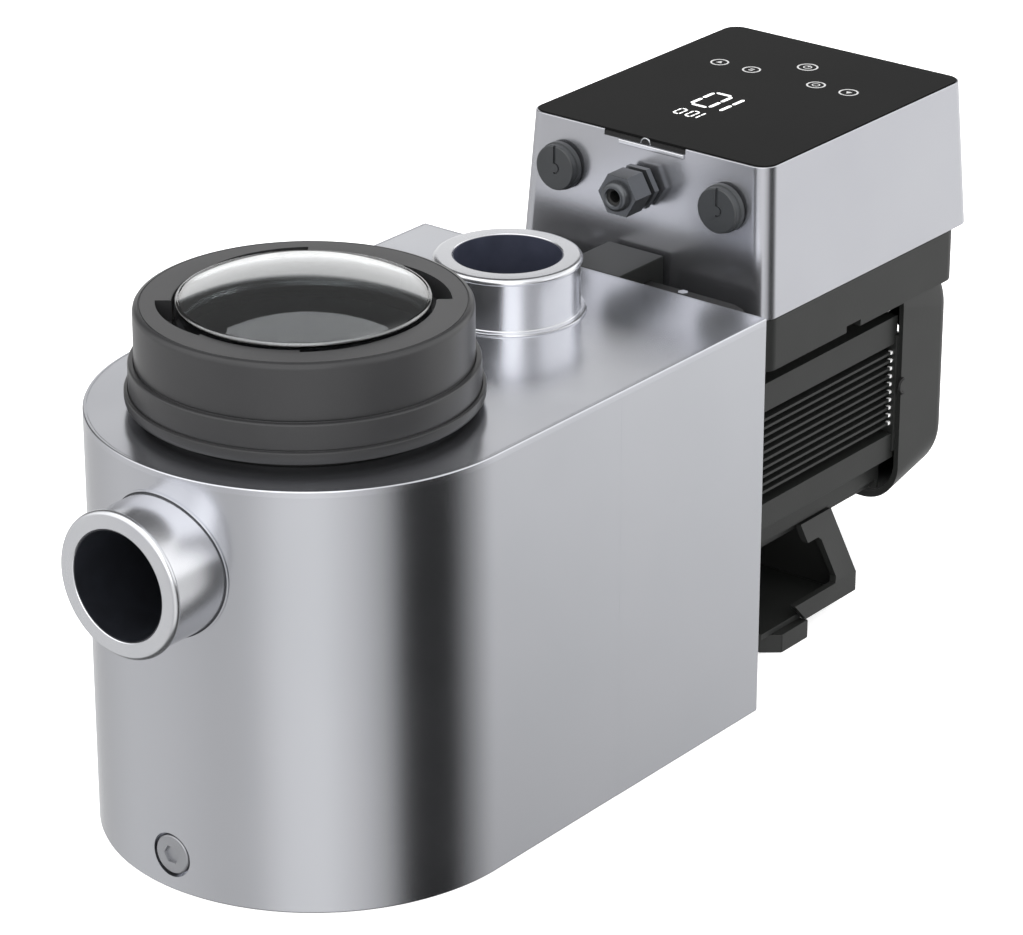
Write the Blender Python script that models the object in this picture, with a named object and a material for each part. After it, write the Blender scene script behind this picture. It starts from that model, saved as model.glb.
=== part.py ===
# Swimming-pool pump with a strainer pot, a finned motor and a touch-panel speed controller.
# Metres. +Z is up, the suction socket faces -Y and the motor runs back along +Y.
# The origin is on the floor, on the axis of the casing's round front.

import math

import bmesh
import bpy

# Casing

CASING_RADIUS = 0.1252
CASING_BACK = 0.2467
CASING_HEIGHT = 0.2482
TOP_PLATE = 0.0037
SEAM = 0.110
GAP = 0.0003

# Strainer pot, its neck and the basket that hangs in it

LID_Y = -0.0072
WELL_RADIUS = 0.083
WELL_FLOOR = 0.020
NECK_OUTER = 0.088
NECK_INNER = 0.0775
NECK_LEDGE = 0.279
NECK_TOP = 0.288
BASKET_RIM = 0.0815
BASKET_TOP_RADIUS = 0.0735
BASKET_BOTTOM_RADIUS = 0.067
BASKET_BOTTOM = 0.045
BASKET_WALL = 0.0025

# Lid: seal, clear dome and screwed lock ring

SEAL_TOP = 0.2907
DOME_FLANGE = 0.003
DOME_RADIUS = 0.069
DOME_BEAD = 0.3108
DOME_EDGE = 0.0665
DOME_RIM = 0.3136
DOME_RISE = 0.011
DOME_WALL = 0.004
RING_BOTTOM = 0.2526
RING_LOWER_STEP = 0.2603
RING_UPPER_STEP = 0.2754
RING_TOP = 0.3074
RING_BORE = 0.0705
RING_SKIRT = 0.0895
POCKET_RADIUS = 0.0795
POCKET_SPAN = math.radians(44)
POCKET_FIRST = math.radians(61)
POCKETS = 4

# Pipe sockets

SOCKET_BORE = 0.0315
SUCTION_Z = 0.1941
SUCTION_MOUTH = -0.1589
SUCTION_NECK = 0.040
SUCTION_LIP = 0.0416
DISCHARGE_Y = 0.1685
DISCHARGE_MOUTH = 0.2805
DISCHARGE_NECK = 0.0415
DISCHARGE_LIP = 0.0428
DISCHARGE_FLOOR = 0.150
LIP_LENGTH = 0.0032
COLLAR = 0.0035
DRAIN_Z = 0.0212
DRAIN_RADIUS = 0.0118

# Motor

SHAFT_Z = 0.127
ADAPTER_BACK = 0.278
ADAPTER_HALF = 0.092
ADAPTER_BOTTOM = 0.030
ADAPTER_TOP = 0.236
MOTOR_FRONT = 0.300
MOTOR_BACK = 0.4530
MOTOR_HALF = 0.080
MOTOR_CORE = 0.066
UPPER_BAND = (0.1566, 0.1750)
LOWER_BAND = (0.0800, 0.0970)
FIN_COUNT = 10
FIN_FIRST = 0.1038
FIN_PITCH = 0.00522
FIN_THICKNESS = 0.0020
MOTOR_UNDERSIDE = 0.0625
COWL_HALF = 0.0845
COWL_BOTTOM = 0.048
COWL_CORNER = 0.026
COWL_FRONT = 0.452
COWL_BACK = 0.508
COWL_TAPER = 0.0012
COWL_ROUND = 0.012
COWL_REAR_CORNER = 0.038
COWL_WALL = 0.003
GRILLE_RADIUS = 0.054
GRILLE_Z = 0.117
GRILLE_SLOTS = 9
FAN_RADIUS = 0.048
SHIELD_RADIUS = 0.0575

# Foot under the motor

FOOT_BACK = 0.3985
FOOT_HALF = 0.0915
SKIRT_TOP = 0.025
PAD_HEIGHT = 0.012
PAD_FRONT = 0.310
PAD_BACK = 0.346
PAD_HALF = 0.0925

# Controller

BASE_BOTTOM = 0.1890
BASE_TOP = 0.2217
COVER_TOP = 0.3138
PANEL_BOTTOM = 0.3117
PANEL_TOP = 0.3144
NOTCH_FLOOR = 0.3104
COVER_FOOT = (0.0920, 0.2930, 0.5125, 0.0140)
COVER_HEAD = (0.0867, 0.2983, 0.5073, 0.0108)
BASE_PLAN = (0.0918, 0.2932, 0.4995, 0.0120)
PANEL_PLAN = (0.0857, 0.2998, 0.5061, 0.0098)
GLAND_Z = 0.2865
CAP_Z = 0.2857
CAP_X = 0.0592
CAP_RADIUS = 0.0147
GLAND_HOLE = 0.0055


def clear_scene():
    for obj in list(bpy.data.objects):
        bpy.data.objects.remove(obj, do_unlink=True)


def make_material(name, colour, roughness, metallic=0.0, alpha=1.0):
    """A plain Principled material with the finish's colour."""
    material = bpy.data.materials.new(name)
    material.use_nodes = True
    shader = material.node_tree.nodes["Principled BSDF"]
    shader.inputs["Base Color"].default_value = (*colour, 1.0)
    shader.inputs["Roughness"].default_value = roughness
    shader.inputs["Metallic"].default_value = metallic
    shader.inputs["Alpha"].default_value = alpha
    return material


def add_object(name, work, material, location=(0, 0, 0), rotation=(0, 0, 0)):
    """Turn a bmesh into an object, shaded smooth between its sharp edges."""
    bmesh.ops.recalc_face_normals(work, faces=work.faces)
    mesh = bpy.data.meshes.new(name)
    work.to_mesh(mesh)
    work.free()
    mesh.shade_smooth()
    mesh.set_sharp_from_angle(angle=math.radians(35))
    obj = bpy.data.objects.new(name, mesh)
    bpy.context.scene.collection.objects.link(obj)
    obj.location = location
    obj.rotation_euler = rotation
    if material is None:
        obj.hide_render = True
        obj.display_type = "WIRE"
    else:
        mesh.materials.append(material)
    return obj


def extruded(outline, low, high):
    """A prism: the outline, a list of (x, y), from one height to the other."""
    work = bmesh.new()
    verts = [work.verts.new((x, y, low)) for x, y in outline]
    face = work.faces.new(verts)
    grown = bmesh.ops.extrude_face_region(work, geom=[face])
    raised = [item for item in grown["geom"] if isinstance(item, bmesh.types.BMVert)]
    bmesh.ops.translate(work, verts=raised, vec=(0, 0, high - low))
    return work


def lofted(layers):
    """A block through a pile of (outline, height) layers that all have as many points."""
    work = bmesh.new()
    rings = [[work.verts.new((x, y, height)) for x, y in outline] for outline, height in layers]
    work.faces.new(rings[0])
    work.faces.new(rings[-1])
    for lower, upper in zip(rings, rings[1:]):
        for index in range(len(lower)):
            after = (index + 1) % len(lower)
            work.faces.new((lower[index], lower[after], upper[after], upper[index]))
    return work


def turned(profile, segments):
    """A solid of revolution about Z. The profile is a closed loop of (radius, height)."""
    work = bmesh.new()
    verts = [work.verts.new((radius, 0, height)) for radius, height in profile]
    edges = []
    for index in range(len(verts)):
        pair = (verts[index], verts[(index + 1) % len(verts)])
        if profile[index][0] > 0 or profile[(index + 1) % len(verts)][0] > 0:
            edges.append(work.edges.new(pair))
    bmesh.ops.spin(
        work,
        geom=verts + edges,
        cent=(0, 0, 0),
        axis=(0, 0, 1),
        angle=2 * math.pi,
        steps=segments,
        use_merge=True,
    )
    bmesh.ops.remove_doubles(work, verts=work.verts, dist=1e-6)
    return work


def box(low, high):
    """A box between two corners."""
    outline = [(low[0], low[1]), (high[0], low[1]), (high[0], high[1]), (low[0], high[1])]
    return extruded(outline, low[2], high[2])


def cylinder(radius, low, high, segments=64):
    return extruded(circle(radius, segments), low, high)


def circle(radius, segments, start=0.0):
    step = 2 * math.pi / segments
    return [
        (radius * math.cos(start + step * index), radius * math.sin(start + step * index))
        for index in range(segments)
    ]


def arc(centre, radius, start, end, steps):
    """Points along an arc, both ends included."""
    points = []
    for index in range(steps + 1):
        angle = start + (end - start) * index / steps
        points.append((centre[0] + radius * math.cos(angle), centre[1] + radius * math.sin(angle)))
    return points


def rounded_rectangle(half_width, low, high, corner, steps=6):
    """A rectangle centred on x = 0, from low to high along the second axis, with round corners."""
    points = []
    quarter = math.pi / 2
    centres = (
        (half_width - corner, low + corner, -quarter),
        (half_width - corner, high - corner, 0.0),
        (corner - half_width, high - corner, quarter),
        (corner - half_width, low + corner, 2 * quarter),
    )
    for x, y, start in centres:
        points += arc((x, y), corner, start, start + quarter, steps)
    return points


def casing_outline(front=True, back=CASING_BACK, start=SEAM):
    """The casing in plan: a half circle in front, straight sides and a flat back."""
    if front:
        points = arc((0, 0), CASING_RADIUS, math.pi, 2 * math.pi, 48)
        return points + [(CASING_RADIUS, back), (-CASING_RADIUS, back)]
    return [
        (-CASING_RADIUS, start),
        (CASING_RADIUS, start),
        (CASING_RADIUS, back),
        (-CASING_RADIUS, back),
    ]


def combine(target, tool, operation):
    """Cut or join an object with a helper that is left out of the build."""
    modifier = target.modifiers.new(tool.name, "BOOLEAN")
    modifier.operation = operation
    modifier.solver = "EXACT"
    modifier.object = tool


def cut(target, name, work, location=(0, 0, 0), rotation=(0, 0, 0)):
    combine(target, add_object(name, work, None, location, rotation), "DIFFERENCE")


def join(target, name, work, location=(0, 0, 0), rotation=(0, 0, 0)):
    combine(target, add_object(name, work, None, location, rotation), "UNION")


def soften(target, width, segments=2, angle=40):
    modifier = target.modifiers.new("soften", "BEVEL")
    modifier.width = width
    modifier.segments = segments
    modifier.limit_method = "ANGLE"
    modifier.angle_limit = math.radians(angle)


# A shape drawn in X and Z and run along Y is turned up by the first rotation,
# and one drawn in Y and Z and run along X by the second.
ALONG_Y = (math.pi / 2, 0, 0)
ALONG_X = (math.pi / 2, 0, math.pi / 2)


# The casing


def build_casing(metal, dark_metal):
    front = casing_outline(back=SEAM)
    pot = add_object("strainer_pot", extruded(front, 0, CASING_HEIGHT - TOP_PLATE - GAP), metal)
    cut(pot, "cut_well", cylinder(WELL_RADIUS, WELL_FLOOR, 0.3), (0, LID_Y, 0))
    cut(pot, "cut_suction", cylinder(SUCTION_NECK + GAP, 0, 0.1), (0, -0.070, SUCTION_Z), ALONG_Y)
    seat = cylinder(DRAIN_RADIUS + 0.0012, 0, 0.015, 32)
    cut(pot, "cut_drain", seat, (0, -0.1152, DRAIN_Z), ALONG_Y)

    rear = casing_outline(front=False, start=SEAM + GAP)
    chamber = add_object("pump_chamber", extruded(rear, 0, CASING_HEIGHT - TOP_PLATE - GAP), metal)
    bore = cylinder(SOCKET_BORE, DISCHARGE_FLOOR, 0.3)
    cut(chamber, "cut_discharge", bore, (0, DISCHARGE_Y, 0))

    plate = extruded(casing_outline(), CASING_HEIGHT - TOP_PLATE, CASING_HEIGHT)
    top = add_object("casing_top", plate, metal)
    cut(top, "cut_neck", cylinder(NECK_OUTER + GAP, 0.2, 0.3, 96), (0, LID_Y, 0))
    cut(top, "cut_outlet", cylinder(DISCHARGE_NECK + GAP, 0.2, 0.3), (0, DISCHARGE_Y, 0))
    soften(top, 0.0012, 2, 60)

    profile = [
        (0, 0),
        (DRAIN_RADIUS, 0),
        (DRAIN_RADIUS, 0.0085),
        (DRAIN_RADIUS - 0.001, 0.0095),
        (0, 0.0095),
    ]
    spot = (0, -0.1155, DRAIN_Z)
    plug = add_object("drain_plug", turned(profile, 32), dark_metal, spot, ALONG_Y)
    cut(plug, "cut_hex", extruded(circle(0.0055, 6), 0.004, 0.02), spot, ALONG_Y)


def socket_profile(inner_end, mouth, neck, lip):
    """Half section of a plain socket: bore, chamfered lip and neck."""
    chamfer = 0.0014
    return [
        (SOCKET_BORE, inner_end),
        (SOCKET_BORE, mouth),
        (lip - chamfer, mouth),
        (lip, mouth - chamfer),
        (lip, mouth - LIP_LENGTH),
        (neck, mouth - LIP_LENGTH - 0.001),
        (neck, inner_end),
    ]


def build_sockets(metal):
    # The suction socket passes through the pot's wall into the well.
    length = -SUCTION_MOUTH - 0.084
    profile = socket_profile(0, length, SUCTION_NECK, SUCTION_LIP)
    add_object("suction_socket", turned(profile, 64), metal, (0, -0.084, SUCTION_Z), ALONG_Y)

    # Its collar follows the round front of the casing.
    inner = SUCTION_NECK + GAP
    outer = SUCTION_NECK + COLLAR
    profile = [(inner, 0), (outer, 0), (outer, 0.05), (inner, 0.05)]
    spot = (0, -0.090, SUCTION_Z)
    collar = add_object("suction_collar", turned(profile, 64), metal, spot, ALONG_Y)
    cut(collar, "cut_saddle", cylinder(CASING_RADIUS + GAP, 0.1, 0.3, 96))
    shell = cylinder(CASING_RADIUS + 0.0022, 0.1, 0.3, 96)
    combine(collar, add_object("keep_saddle", shell, None), "INTERSECT")

    foot = CASING_HEIGHT - TOP_PLATE
    profile = socket_profile(foot, DISCHARGE_MOUTH, DISCHARGE_NECK, DISCHARGE_LIP)
    add_object("discharge_socket", turned(profile, 64), metal, (0, DISCHARGE_Y, 0))
    low = CASING_HEIGHT + GAP
    inner = DISCHARGE_NECK + GAP
    outer = DISCHARGE_NECK + COLLAR
    profile = [(inner, low), (outer, low), (outer, low + 0.0012), (inner, low + 0.0022)]
    add_object("discharge_collar", turned(profile, 64), metal, (0, DISCHARGE_Y, 0))


# The lid and the basket under it


def build_strainer(black, seal_rubber, clear, basket_plastic):
    here = (0, LID_Y, 0)
    foot = CASING_HEIGHT - TOP_PLATE
    step = BASKET_RIM + 0.0005
    neck = [
        (NECK_INNER, foot),
        (NECK_OUTER, foot),
        (NECK_OUTER, NECK_TOP),
        (step, NECK_TOP),
        (step, NECK_LEDGE),
        (NECK_INNER, NECK_LEDGE),
    ]
    add_object("lid_seat", turned(neck, 96), black, here)

    rim = NECK_LEDGE + GAP
    wall = BASKET_WALL
    basket = [
        (0, BASKET_BOTTOM),
        (BASKET_BOTTOM_RADIUS, BASKET_BOTTOM),
        (BASKET_TOP_RADIUS, rim),
        (BASKET_RIM, rim),
        (BASKET_RIM, rim + wall),
        (BASKET_TOP_RADIUS - wall, rim + wall),
        (BASKET_BOTTOM_RADIUS - wall, BASKET_BOTTOM + wall),
        (0, BASKET_BOTTOM + wall),
    ]
    add_object("strainer_basket", turned(basket, 64), basket_plastic, here)

    inner = step + 0.0005
    low = NECK_TOP + GAP
    seal = [(inner, low), (0.087, low), (0.087, SEAL_TOP), (inner, SEAL_TOP)]
    add_object("lid_seal", turned(seal, 96), seal_rubber, here)
    build_dome(clear, here)
    build_lock_ring(black, here)


def build_dome(clear, here):
    """The lid's window: a shallow cap with a rolled edge, on a wall with a flange for the ring."""
    low = SEAL_TOP + GAP
    outer_sphere = (DOME_EDGE**2 + DOME_RISE**2) / (2 * DOME_RISE)
    centre = DOME_RIM + DOME_RISE - outer_sphere
    inner_sphere = outer_sphere - DOME_WALL
    outer_end = math.asin(DOME_EDGE / outer_sphere)
    inner_radius = DOME_RADIUS - DOME_WALL
    inner_end = math.asin(inner_radius / inner_sphere)
    steps = 8
    profile = [
        (inner_radius, low),
        (0.087, low),
        (0.087, low + DOME_FLANGE),
        (DOME_RADIUS, low + DOME_FLANGE),
        (DOME_RADIUS, DOME_BEAD),
        (DOME_RADIUS - 0.0008, DOME_BEAD + 0.0019),
    ]
    for index in range(steps + 1):
        angle = outer_end * (1 - index / steps)
        profile.append((outer_sphere * math.sin(angle), centre + outer_sphere * math.cos(angle)))
    for index in range(steps + 1):
        angle = inner_end * index / steps
        profile.append((inner_sphere * math.sin(angle), centre + inner_sphere * math.cos(angle)))
    add_object("lid_dome", turned(profile, 64), clear, here)


def build_lock_ring(black, here):
    """The screwed ring: three stepped tiers, with four finger pockets round the window."""
    shoulder = SEAL_TOP + GAP + DOME_FLANGE + GAP
    profile = [
        (RING_SKIRT, RING_BOTTOM),
        (0.0958, RING_BOTTOM),
        (0.0977, RING_BOTTOM + 0.002),
        (0.0977, RING_LOWER_STEP),
        (0.0960, RING_LOWER_STEP + 0.0006),
        (0.0956, RING_UPPER_STEP),
        (0.0924, RING_UPPER_STEP + 0.0006),
        (0.0920, RING_TOP - 0.0026),
        (0.0896, RING_TOP),
        (RING_BORE, RING_TOP),
        (RING_BORE, shoulder),
        (RING_SKIRT, shoulder),
    ]
    ring = add_object("lock_ring", turned(profile, 96), black, here)
    for index in range(POCKETS):
        middle = POCKET_FIRST + 2 * math.pi * index / POCKETS
        low, high = middle - POCKET_SPAN / 2, middle + POCKET_SPAN / 2
        outline = arc((0, 0), POCKET_RADIUS, low, high, 10) + arc((0, 0), 0.068, high, low, 10)
        cut(ring, f"cut_pocket_{index + 1}", extruded(outline, 0.29, 0.32), here)


# The motor


def build_motor(black, steel, fan_plastic):
    low = CASING_BACK + GAP
    outline = rounded_rectangle(ADAPTER_HALF, ADAPTER_BOTTOM, ADAPTER_TOP, 0.012, 3)
    plate = extruded(outline, 0, ADAPTER_BACK - low)
    add_object("motor_adapter", plate, black, (0, ADAPTER_BACK, 0), ALONG_Y)
    for side, name in ((-1, "left"), (1, "right")):
        spot = (side * 0.050, 0.269, ADAPTER_TOP + GAP)
        head = extruded(circle(0.0032, 6), 0, 0.0030)
        add_object(f"adapter_bolt_{name}", head, steel, spot)

    outline = rounded_rectangle(0.074, SHAFT_Z - 0.062, BASE_BOTTOM - 0.001, 0.024, 4)
    back = MOTOR_FRONT - GAP
    shield = extruded(outline, 0, back - ADAPTER_BACK - GAP)
    add_object("front_end_shield", shield, black, (0, back, 0), ALONG_Y)

    frame = extruded(motor_section(), 0, MOTOR_BACK - MOTOR_FRONT)
    motor = add_object("motor_frame", frame, black, (0, MOTOR_BACK, 0), ALONG_Y)
    under_cowl = COWL_FRONT - GAP, BASE_BOTTOM - COWL_WALL - 0.0010
    cut(motor, "cut_frame_end", box((-0.1, under_cowl[0], under_cowl[1]), (0.1, 0.46, 0.2)))
    build_fan_end(black, steel, fan_plastic)


def motor_section():
    """The frame in X and Z: a core with a flat band above and below the fins on each side."""
    top = BASE_BOTTOM - GAP
    right = [
        (0.040, MOTOR_UNDERSIDE - 0.006),
        (0.070, MOTOR_UNDERSIDE),
        (MOTOR_HALF, LOWER_BAND[0]),
        (MOTOR_HALF, LOWER_BAND[1]),
        (MOTOR_CORE, LOWER_BAND[1]),
    ]
    for index in range(FIN_COUNT):
        middle = FIN_FIRST + FIN_PITCH * index
        low, high = middle - FIN_THICKNESS / 2, middle + FIN_THICKNESS / 2
        right += [
            (MOTOR_CORE, low),
            (MOTOR_HALF - 0.001, low + 0.0005),
            (MOTOR_HALF - 0.001, high - 0.0005),
            (MOTOR_CORE, high),
        ]
    right += [
        (MOTOR_CORE, UPPER_BAND[0]),
        (MOTOR_HALF, UPPER_BAND[0]),
        (MOTOR_HALF, UPPER_BAND[1]),
        (MOTOR_CORE, UPPER_BAND[1] + 0.002),
        (MOTOR_CORE, top),
    ]
    left = [(-x, z) for x, z in reversed(right)]
    return right + left


def cowl_outline(inset, corner):
    """The cowl in X and Z: a square with round corners, cut flat under the controller."""
    half = COWL_HALF - inset
    bottom = COWL_BOTTOM + inset
    top = 2 * SHAFT_Z - bottom
    flat = BASE_BOTTOM - GAP - inset
    drop = math.asin((flat - (top - corner)) / corner)
    right = arc((half - corner, bottom + corner), corner, -math.pi / 2, 0, 8)
    right += arc((half - corner, top - corner), corner, 0, drop, 4)
    left = [(-x, z) for x, z in reversed(right)]
    return right + left


def cowl_layers(wall, reach):
    """Layers from the closed rear end, round its edge, to the open front."""
    layers = []
    steps = 6
    radius = COWL_ROUND - wall
    for index in range(steps + 1):
        angle = math.pi / 2 * index / steps
        shrink = COWL_ROUND - radius * math.sin(angle)
        height = COWL_ROUND - radius * math.cos(angle)
        outline = cowl_outline(COWL_TAPER + shrink, COWL_REAR_CORNER - shrink)
        layers.append((outline, height))
    layers.append((cowl_outline(wall, COWL_CORNER - wall), reach))
    return layers


def build_fan_end(black, steel, fan_plastic):
    # The rear end shield has two ears that carry the cowl.
    shield_back = MOTOR_BACK + GAP + 0.0085
    disc = cylinder(SHIELD_RADIUS, 0, 0.0085, 48)
    shield = add_object("rear_end_shield", disc, black, (0, shield_back, SHAFT_Z), ALONG_Y)
    reach = COWL_HALF - COWL_WALL - 0.0006
    ears = box(
        (-reach, MOTOR_BACK + 0.0023, SHAFT_Z - 0.010),
        (reach, MOTOR_BACK + 0.0088, SHAFT_Z + 0.010),
    )
    join(shield, "join_ears", ears)
    spot = (0, 0.49, SHAFT_Z)
    cut(shield, "cut_shaft_hole", cylinder(0.0072, 0, 0.05, 24), spot, ALONG_Y)
    shaft = cylinder(0.0070, 0, 0.0312, 24)
    add_object("motor_shaft", shaft, steel, (0, 0.4845, SHAFT_Z), ALONG_Y)

    spot = (0, 0.482, SHAFT_Z)
    fan = add_object("cooling_fan", fan_blades(), fan_plastic, spot, ALONG_Y)
    cut(fan, "cut_fan_bore", cylinder(0.0073, -0.01, 0.05, 24), spot, ALONG_Y)

    depth = COWL_BACK - COWL_FRONT
    spot = (0, COWL_BACK, 0)
    cowl = add_object("fan_cowl", lofted(cowl_layers(0, depth)), black, spot, ALONG_Y)
    cut(cowl, "cut_cowl_hollow", lofted(cowl_layers(COWL_WALL, depth + 0.01)), spot, ALONG_Y)
    pitch = 2 * GRILLE_RADIUS / GRILLE_SLOTS
    for index in range(GRILLE_SLOTS):
        middle = -GRILLE_RADIUS + pitch * (index + 0.5)
        half = math.sqrt(GRILLE_RADIUS**2 - middle**2)
        low = (-half, COWL_BACK - 0.01, GRILLE_Z + middle - pitch / 4)
        high = (half, COWL_BACK + 0.01, GRILLE_Z + middle + pitch / 4)
        cut(cowl, f"cut_grille_{index + 1}", box(low, high))


def fan_blades():
    """A hub with seven straight blades, drawn as one outline."""
    blades = 7
    hub, tip, half = 0.013, FAN_RADIUS, 0.0015
    outline = []
    for index in range(blades):
        turn = 2 * math.pi * index / blades
        root = math.sqrt(hub**2 - half**2)
        cosine, sine = math.cos(turn), math.sin(turn)
        for x, y in ((root, -half), (tip, -half), (tip, half), (root, half)):
            outline.append((x * cosine - y * sine, x * sine + y * cosine))
        between = turn + math.pi / blades
        outline.append((hub * math.cos(between), hub * math.sin(between)))
    return extruded(outline, 0, 0.018)


# The foot


def build_foot(black):
    thickness = 0.004
    top = MOTOR_UNDERSIDE - 0.0065
    for side, name in ((-1, "left"), (1, "right")):
        section = [
            (side * FOOT_HALF, PAD_HEIGHT + GAP),
            (side * FOOT_HALF, SKIRT_TOP),
            (side * 0.0715, MOTOR_UNDERSIDE - GAP),
            (side * (0.0715 - 0.0045), MOTOR_UNDERSIDE - 0.0011),
            (side * (FOOT_HALF - thickness), SKIRT_TOP - 0.001),
            (side * (FOOT_HALF - thickness), PAD_HEIGHT + GAP),
        ]
        wall = add_object(
            f"foot_side_{name}",
            extruded(section, 0, FOOT_BACK - PAD_FRONT),
            black,
            (0, FOOT_BACK, 0),
            ALONG_Y,
        )
        window = [
            (PAD_FRONT - 0.01, SKIRT_TOP),
            (PAD_FRONT - 0.01, 0),
            (0.345, 0),
            (0.345, PAD_HEIGHT + GAP),
            (0.333, SKIRT_TOP),
        ]
        spot = (0.055 if side > 0 else -0.105, 0, 0)
        cut(wall, f"cut_nose_{name}", extruded(window, 0, 0.05), spot, ALONG_X)
        opening = [
            (PAD_FRONT - 0.01, SKIRT_TOP - 0.0001),
            (0.376, SKIRT_TOP - 0.0001),
            (0.379, SKIRT_TOP + 0.003),
            (0.379, 0.0515),
            (0.366, 0.0515),
            (0.366, 0.080),
            (PAD_FRONT - 0.01, 0.080),
        ]
        cut(wall, f"cut_window_{name}", extruded(opening, 0, 0.05), spot, ALONG_X)

        pad = [
            (side * 0.050, PAD_FRONT),
            (side * (PAD_HALF - 0.0105), PAD_FRONT),
            (side * PAD_HALF, PAD_FRONT + 0.0085),
            (side * PAD_HALF, PAD_BACK),
            (side * 0.050, PAD_BACK),
        ]
        add_object(f"foot_pad_{name}", extruded(pad, 0, PAD_HEIGHT), black)

    inner = FOOT_HALF - thickness - GAP
    floor = box((-inner, 0.304, PAD_HEIGHT + GAP), (inner, FOOT_BACK - 0.002, PAD_HEIGHT + 0.004))
    add_object("foot_floor", floor, black)
    low = PAD_HEIGHT + 0.004 + GAP
    half_web = [(0.0868, low), (0.0868, 0.0232), (0.0665, 0.0600), (0.040, top - GAP)]
    web = half_web + [(-x, z) for x, z in reversed(half_web)]
    add_object("foot_web", extruded(web, 0, 0.006), black, (0, FOOT_BACK - 0.0065, 0), ALONG_Y)


# The controller


def build_controller(black, metal, glass, cap_plastic, steel):
    body = extruded(rounded_rectangle(*BASE_PLAN), BASE_BOTTOM, BASE_TOP)
    base = add_object("controller_base", body, black)
    notch = box((-0.12, 0.3785, BASE_BOTTOM - 0.01), (0.12, 0.3935, BASE_BOTTOM + 0.0045))
    cut(base, "cut_base_notch", notch)
    tongue = box((-0.080, 0.370, BASE_BOTTOM), (0.080, 0.400, BASE_BOTTOM + 0.006))
    join(base, "join_base_core", tongue)

    layers = [
        (rounded_rectangle(*COVER_FOOT), BASE_TOP + GAP),
        (rounded_rectangle(*COVER_HEAD), COVER_TOP),
    ]
    cover = add_object("controller_cover", lofted(layers), metal)
    half, front, back, corner = PANEL_PLAN
    recess = rounded_rectangle(half + GAP, front - GAP, back + GAP, corner + GAP)
    cut(cover, "cut_panel_recess", extruded(recess, PANEL_BOTTOM - GAP, 0.33))
    cut(cover, "cut_catch_notch", box((-0.030, 0.28, NOTCH_FLOOR), (0.030, front, 0.33)))
    pane = extruded(rounded_rectangle(*PANEL_PLAN), PANEL_BOTTOM, PANEL_TOP)
    add_object("touch_panel", pane, glass)
    low = NOTCH_FLOOR + GAP
    spot = (0, 0.2992, low)
    catch = add_object("panel_catch", cylinder(0.0040, 0, 0.0009, 24), steel, spot, ALONG_Y)
    cut(catch, "cut_catch_eye", cylinder(0.0029, -0.01, 0.01, 24), spot, ALONG_Y)
    cut(catch, "cut_catch_foot", box((-0.01, 0.29, 0.30), (0.01, 0.31, low)))
    build_fittings(cap_plastic)

    duct = [
        (CASING_BACK + GAP, ADAPTER_TOP + GAP),
        (ADAPTER_BACK + GAP, ADAPTER_TOP + GAP),
        (ADAPTER_BACK + GAP, 0.205),
        (0.2905, 0.205),
        (0.2905, 0.248),
        (CASING_BACK + GAP, 0.248),
    ]
    add_object("cable_duct", extruded(duct, 0, 0.040), black, (-0.020, 0, 0), ALONG_X)


def face_depth(height):
    """How far back the cover's sloping front lies at a height."""
    share = (height - BASE_TOP - GAP) / (COVER_TOP - BASE_TOP - GAP)
    return COVER_FOOT[1] + share * (COVER_HEAD[1] - COVER_FOOT[1])


def build_fittings(cap_plastic):
    """Two blanking caps and a cable gland on the front of the cover."""
    seat = face_depth(GLAND_Z - 0.016) - 0.0006
    for side, name in ((-1, "left"), (1, "right")):
        front = CAP_RADIUS - 0.0012
        profile = [(0, 0), (CAP_RADIUS, 0), (CAP_RADIUS, 0.0060), (front, 0.0075), (0, 0.0075)]
        spot = (side * CAP_X, seat, CAP_Z)
        cap = add_object(f"blanking_cap_{name}", turned(profile, 40), cap_plastic, spot, ALONG_Y)
        slot = box((-0.0006, -0.010, 0.004), (0.0006, 0.0, 0.020))
        cut(cap, f"cut_cap_slot_{name}", slot, (side * CAP_X, seat - 0.0065, CAP_Z))

    spot = (0, seat, GLAND_Z)
    flange = extruded(circle(0.0140, 6), 0, 0.0087)
    body = add_object("gland_body", flange, cap_plastic, spot, ALONG_Y)
    cut(body, "cut_gland_body", cylinder(GLAND_HOLE, -0.01, 0.05, 24), spot, ALONG_Y)
    spot = (0, seat - 0.0087 - GAP, GLAND_Z)
    flats = extruded(circle(0.0138, 6), 0, 0.0153)
    nut = add_object("gland_nut", flats, cap_plastic, spot, ALONG_Y)
    profile = [
        (0, 0.010),
        (0.0085, 0.010),
        (0.0085, 0.0175),
        (0.0078, 0.0190),
        (0.0065, 0.0198),
        (0, 0.0198),
    ]
    join(nut, "join_gland_dome", turned(profile, 32), spot, ALONG_Y)
    cut(nut, "cut_gland_nut", cylinder(GLAND_HOLE, -0.01, 0.05, 24), spot, ALONG_Y)


clear_scene()
satin_metal = make_material("satin_metal", (0.50, 0.51, 0.53), 0.28, 1.0)
plug_metal = make_material("plug_metal", (0.42, 0.42, 0.43), 0.35, 1.0)
bolt_steel = make_material("bolt_steel", (0.60, 0.60, 0.61), 0.30, 1.0)
black_paint = make_material("black_paint", (0.045, 0.045, 0.045), 0.55)
lid_plastic = make_material("lid_plastic", (0.055, 0.055, 0.057), 0.42)
cap_plastic = make_material("cap_plastic", (0.040, 0.042, 0.042), 0.50)
fan_plastic = make_material("fan_plastic", (0.030, 0.030, 0.032), 0.60)
basket_plastic = make_material("basket_plastic", (0.10, 0.10, 0.11), 0.50)
seal_rubber = make_material("seal_rubber", (0.015, 0.015, 0.015), 0.70)
clear_plastic = make_material("clear_plastic", (0.85, 0.87, 0.88), 0.05, 0.0, 0.3)
panel_glass = make_material("panel_glass", (0.020, 0.020, 0.021), 0.12)

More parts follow.
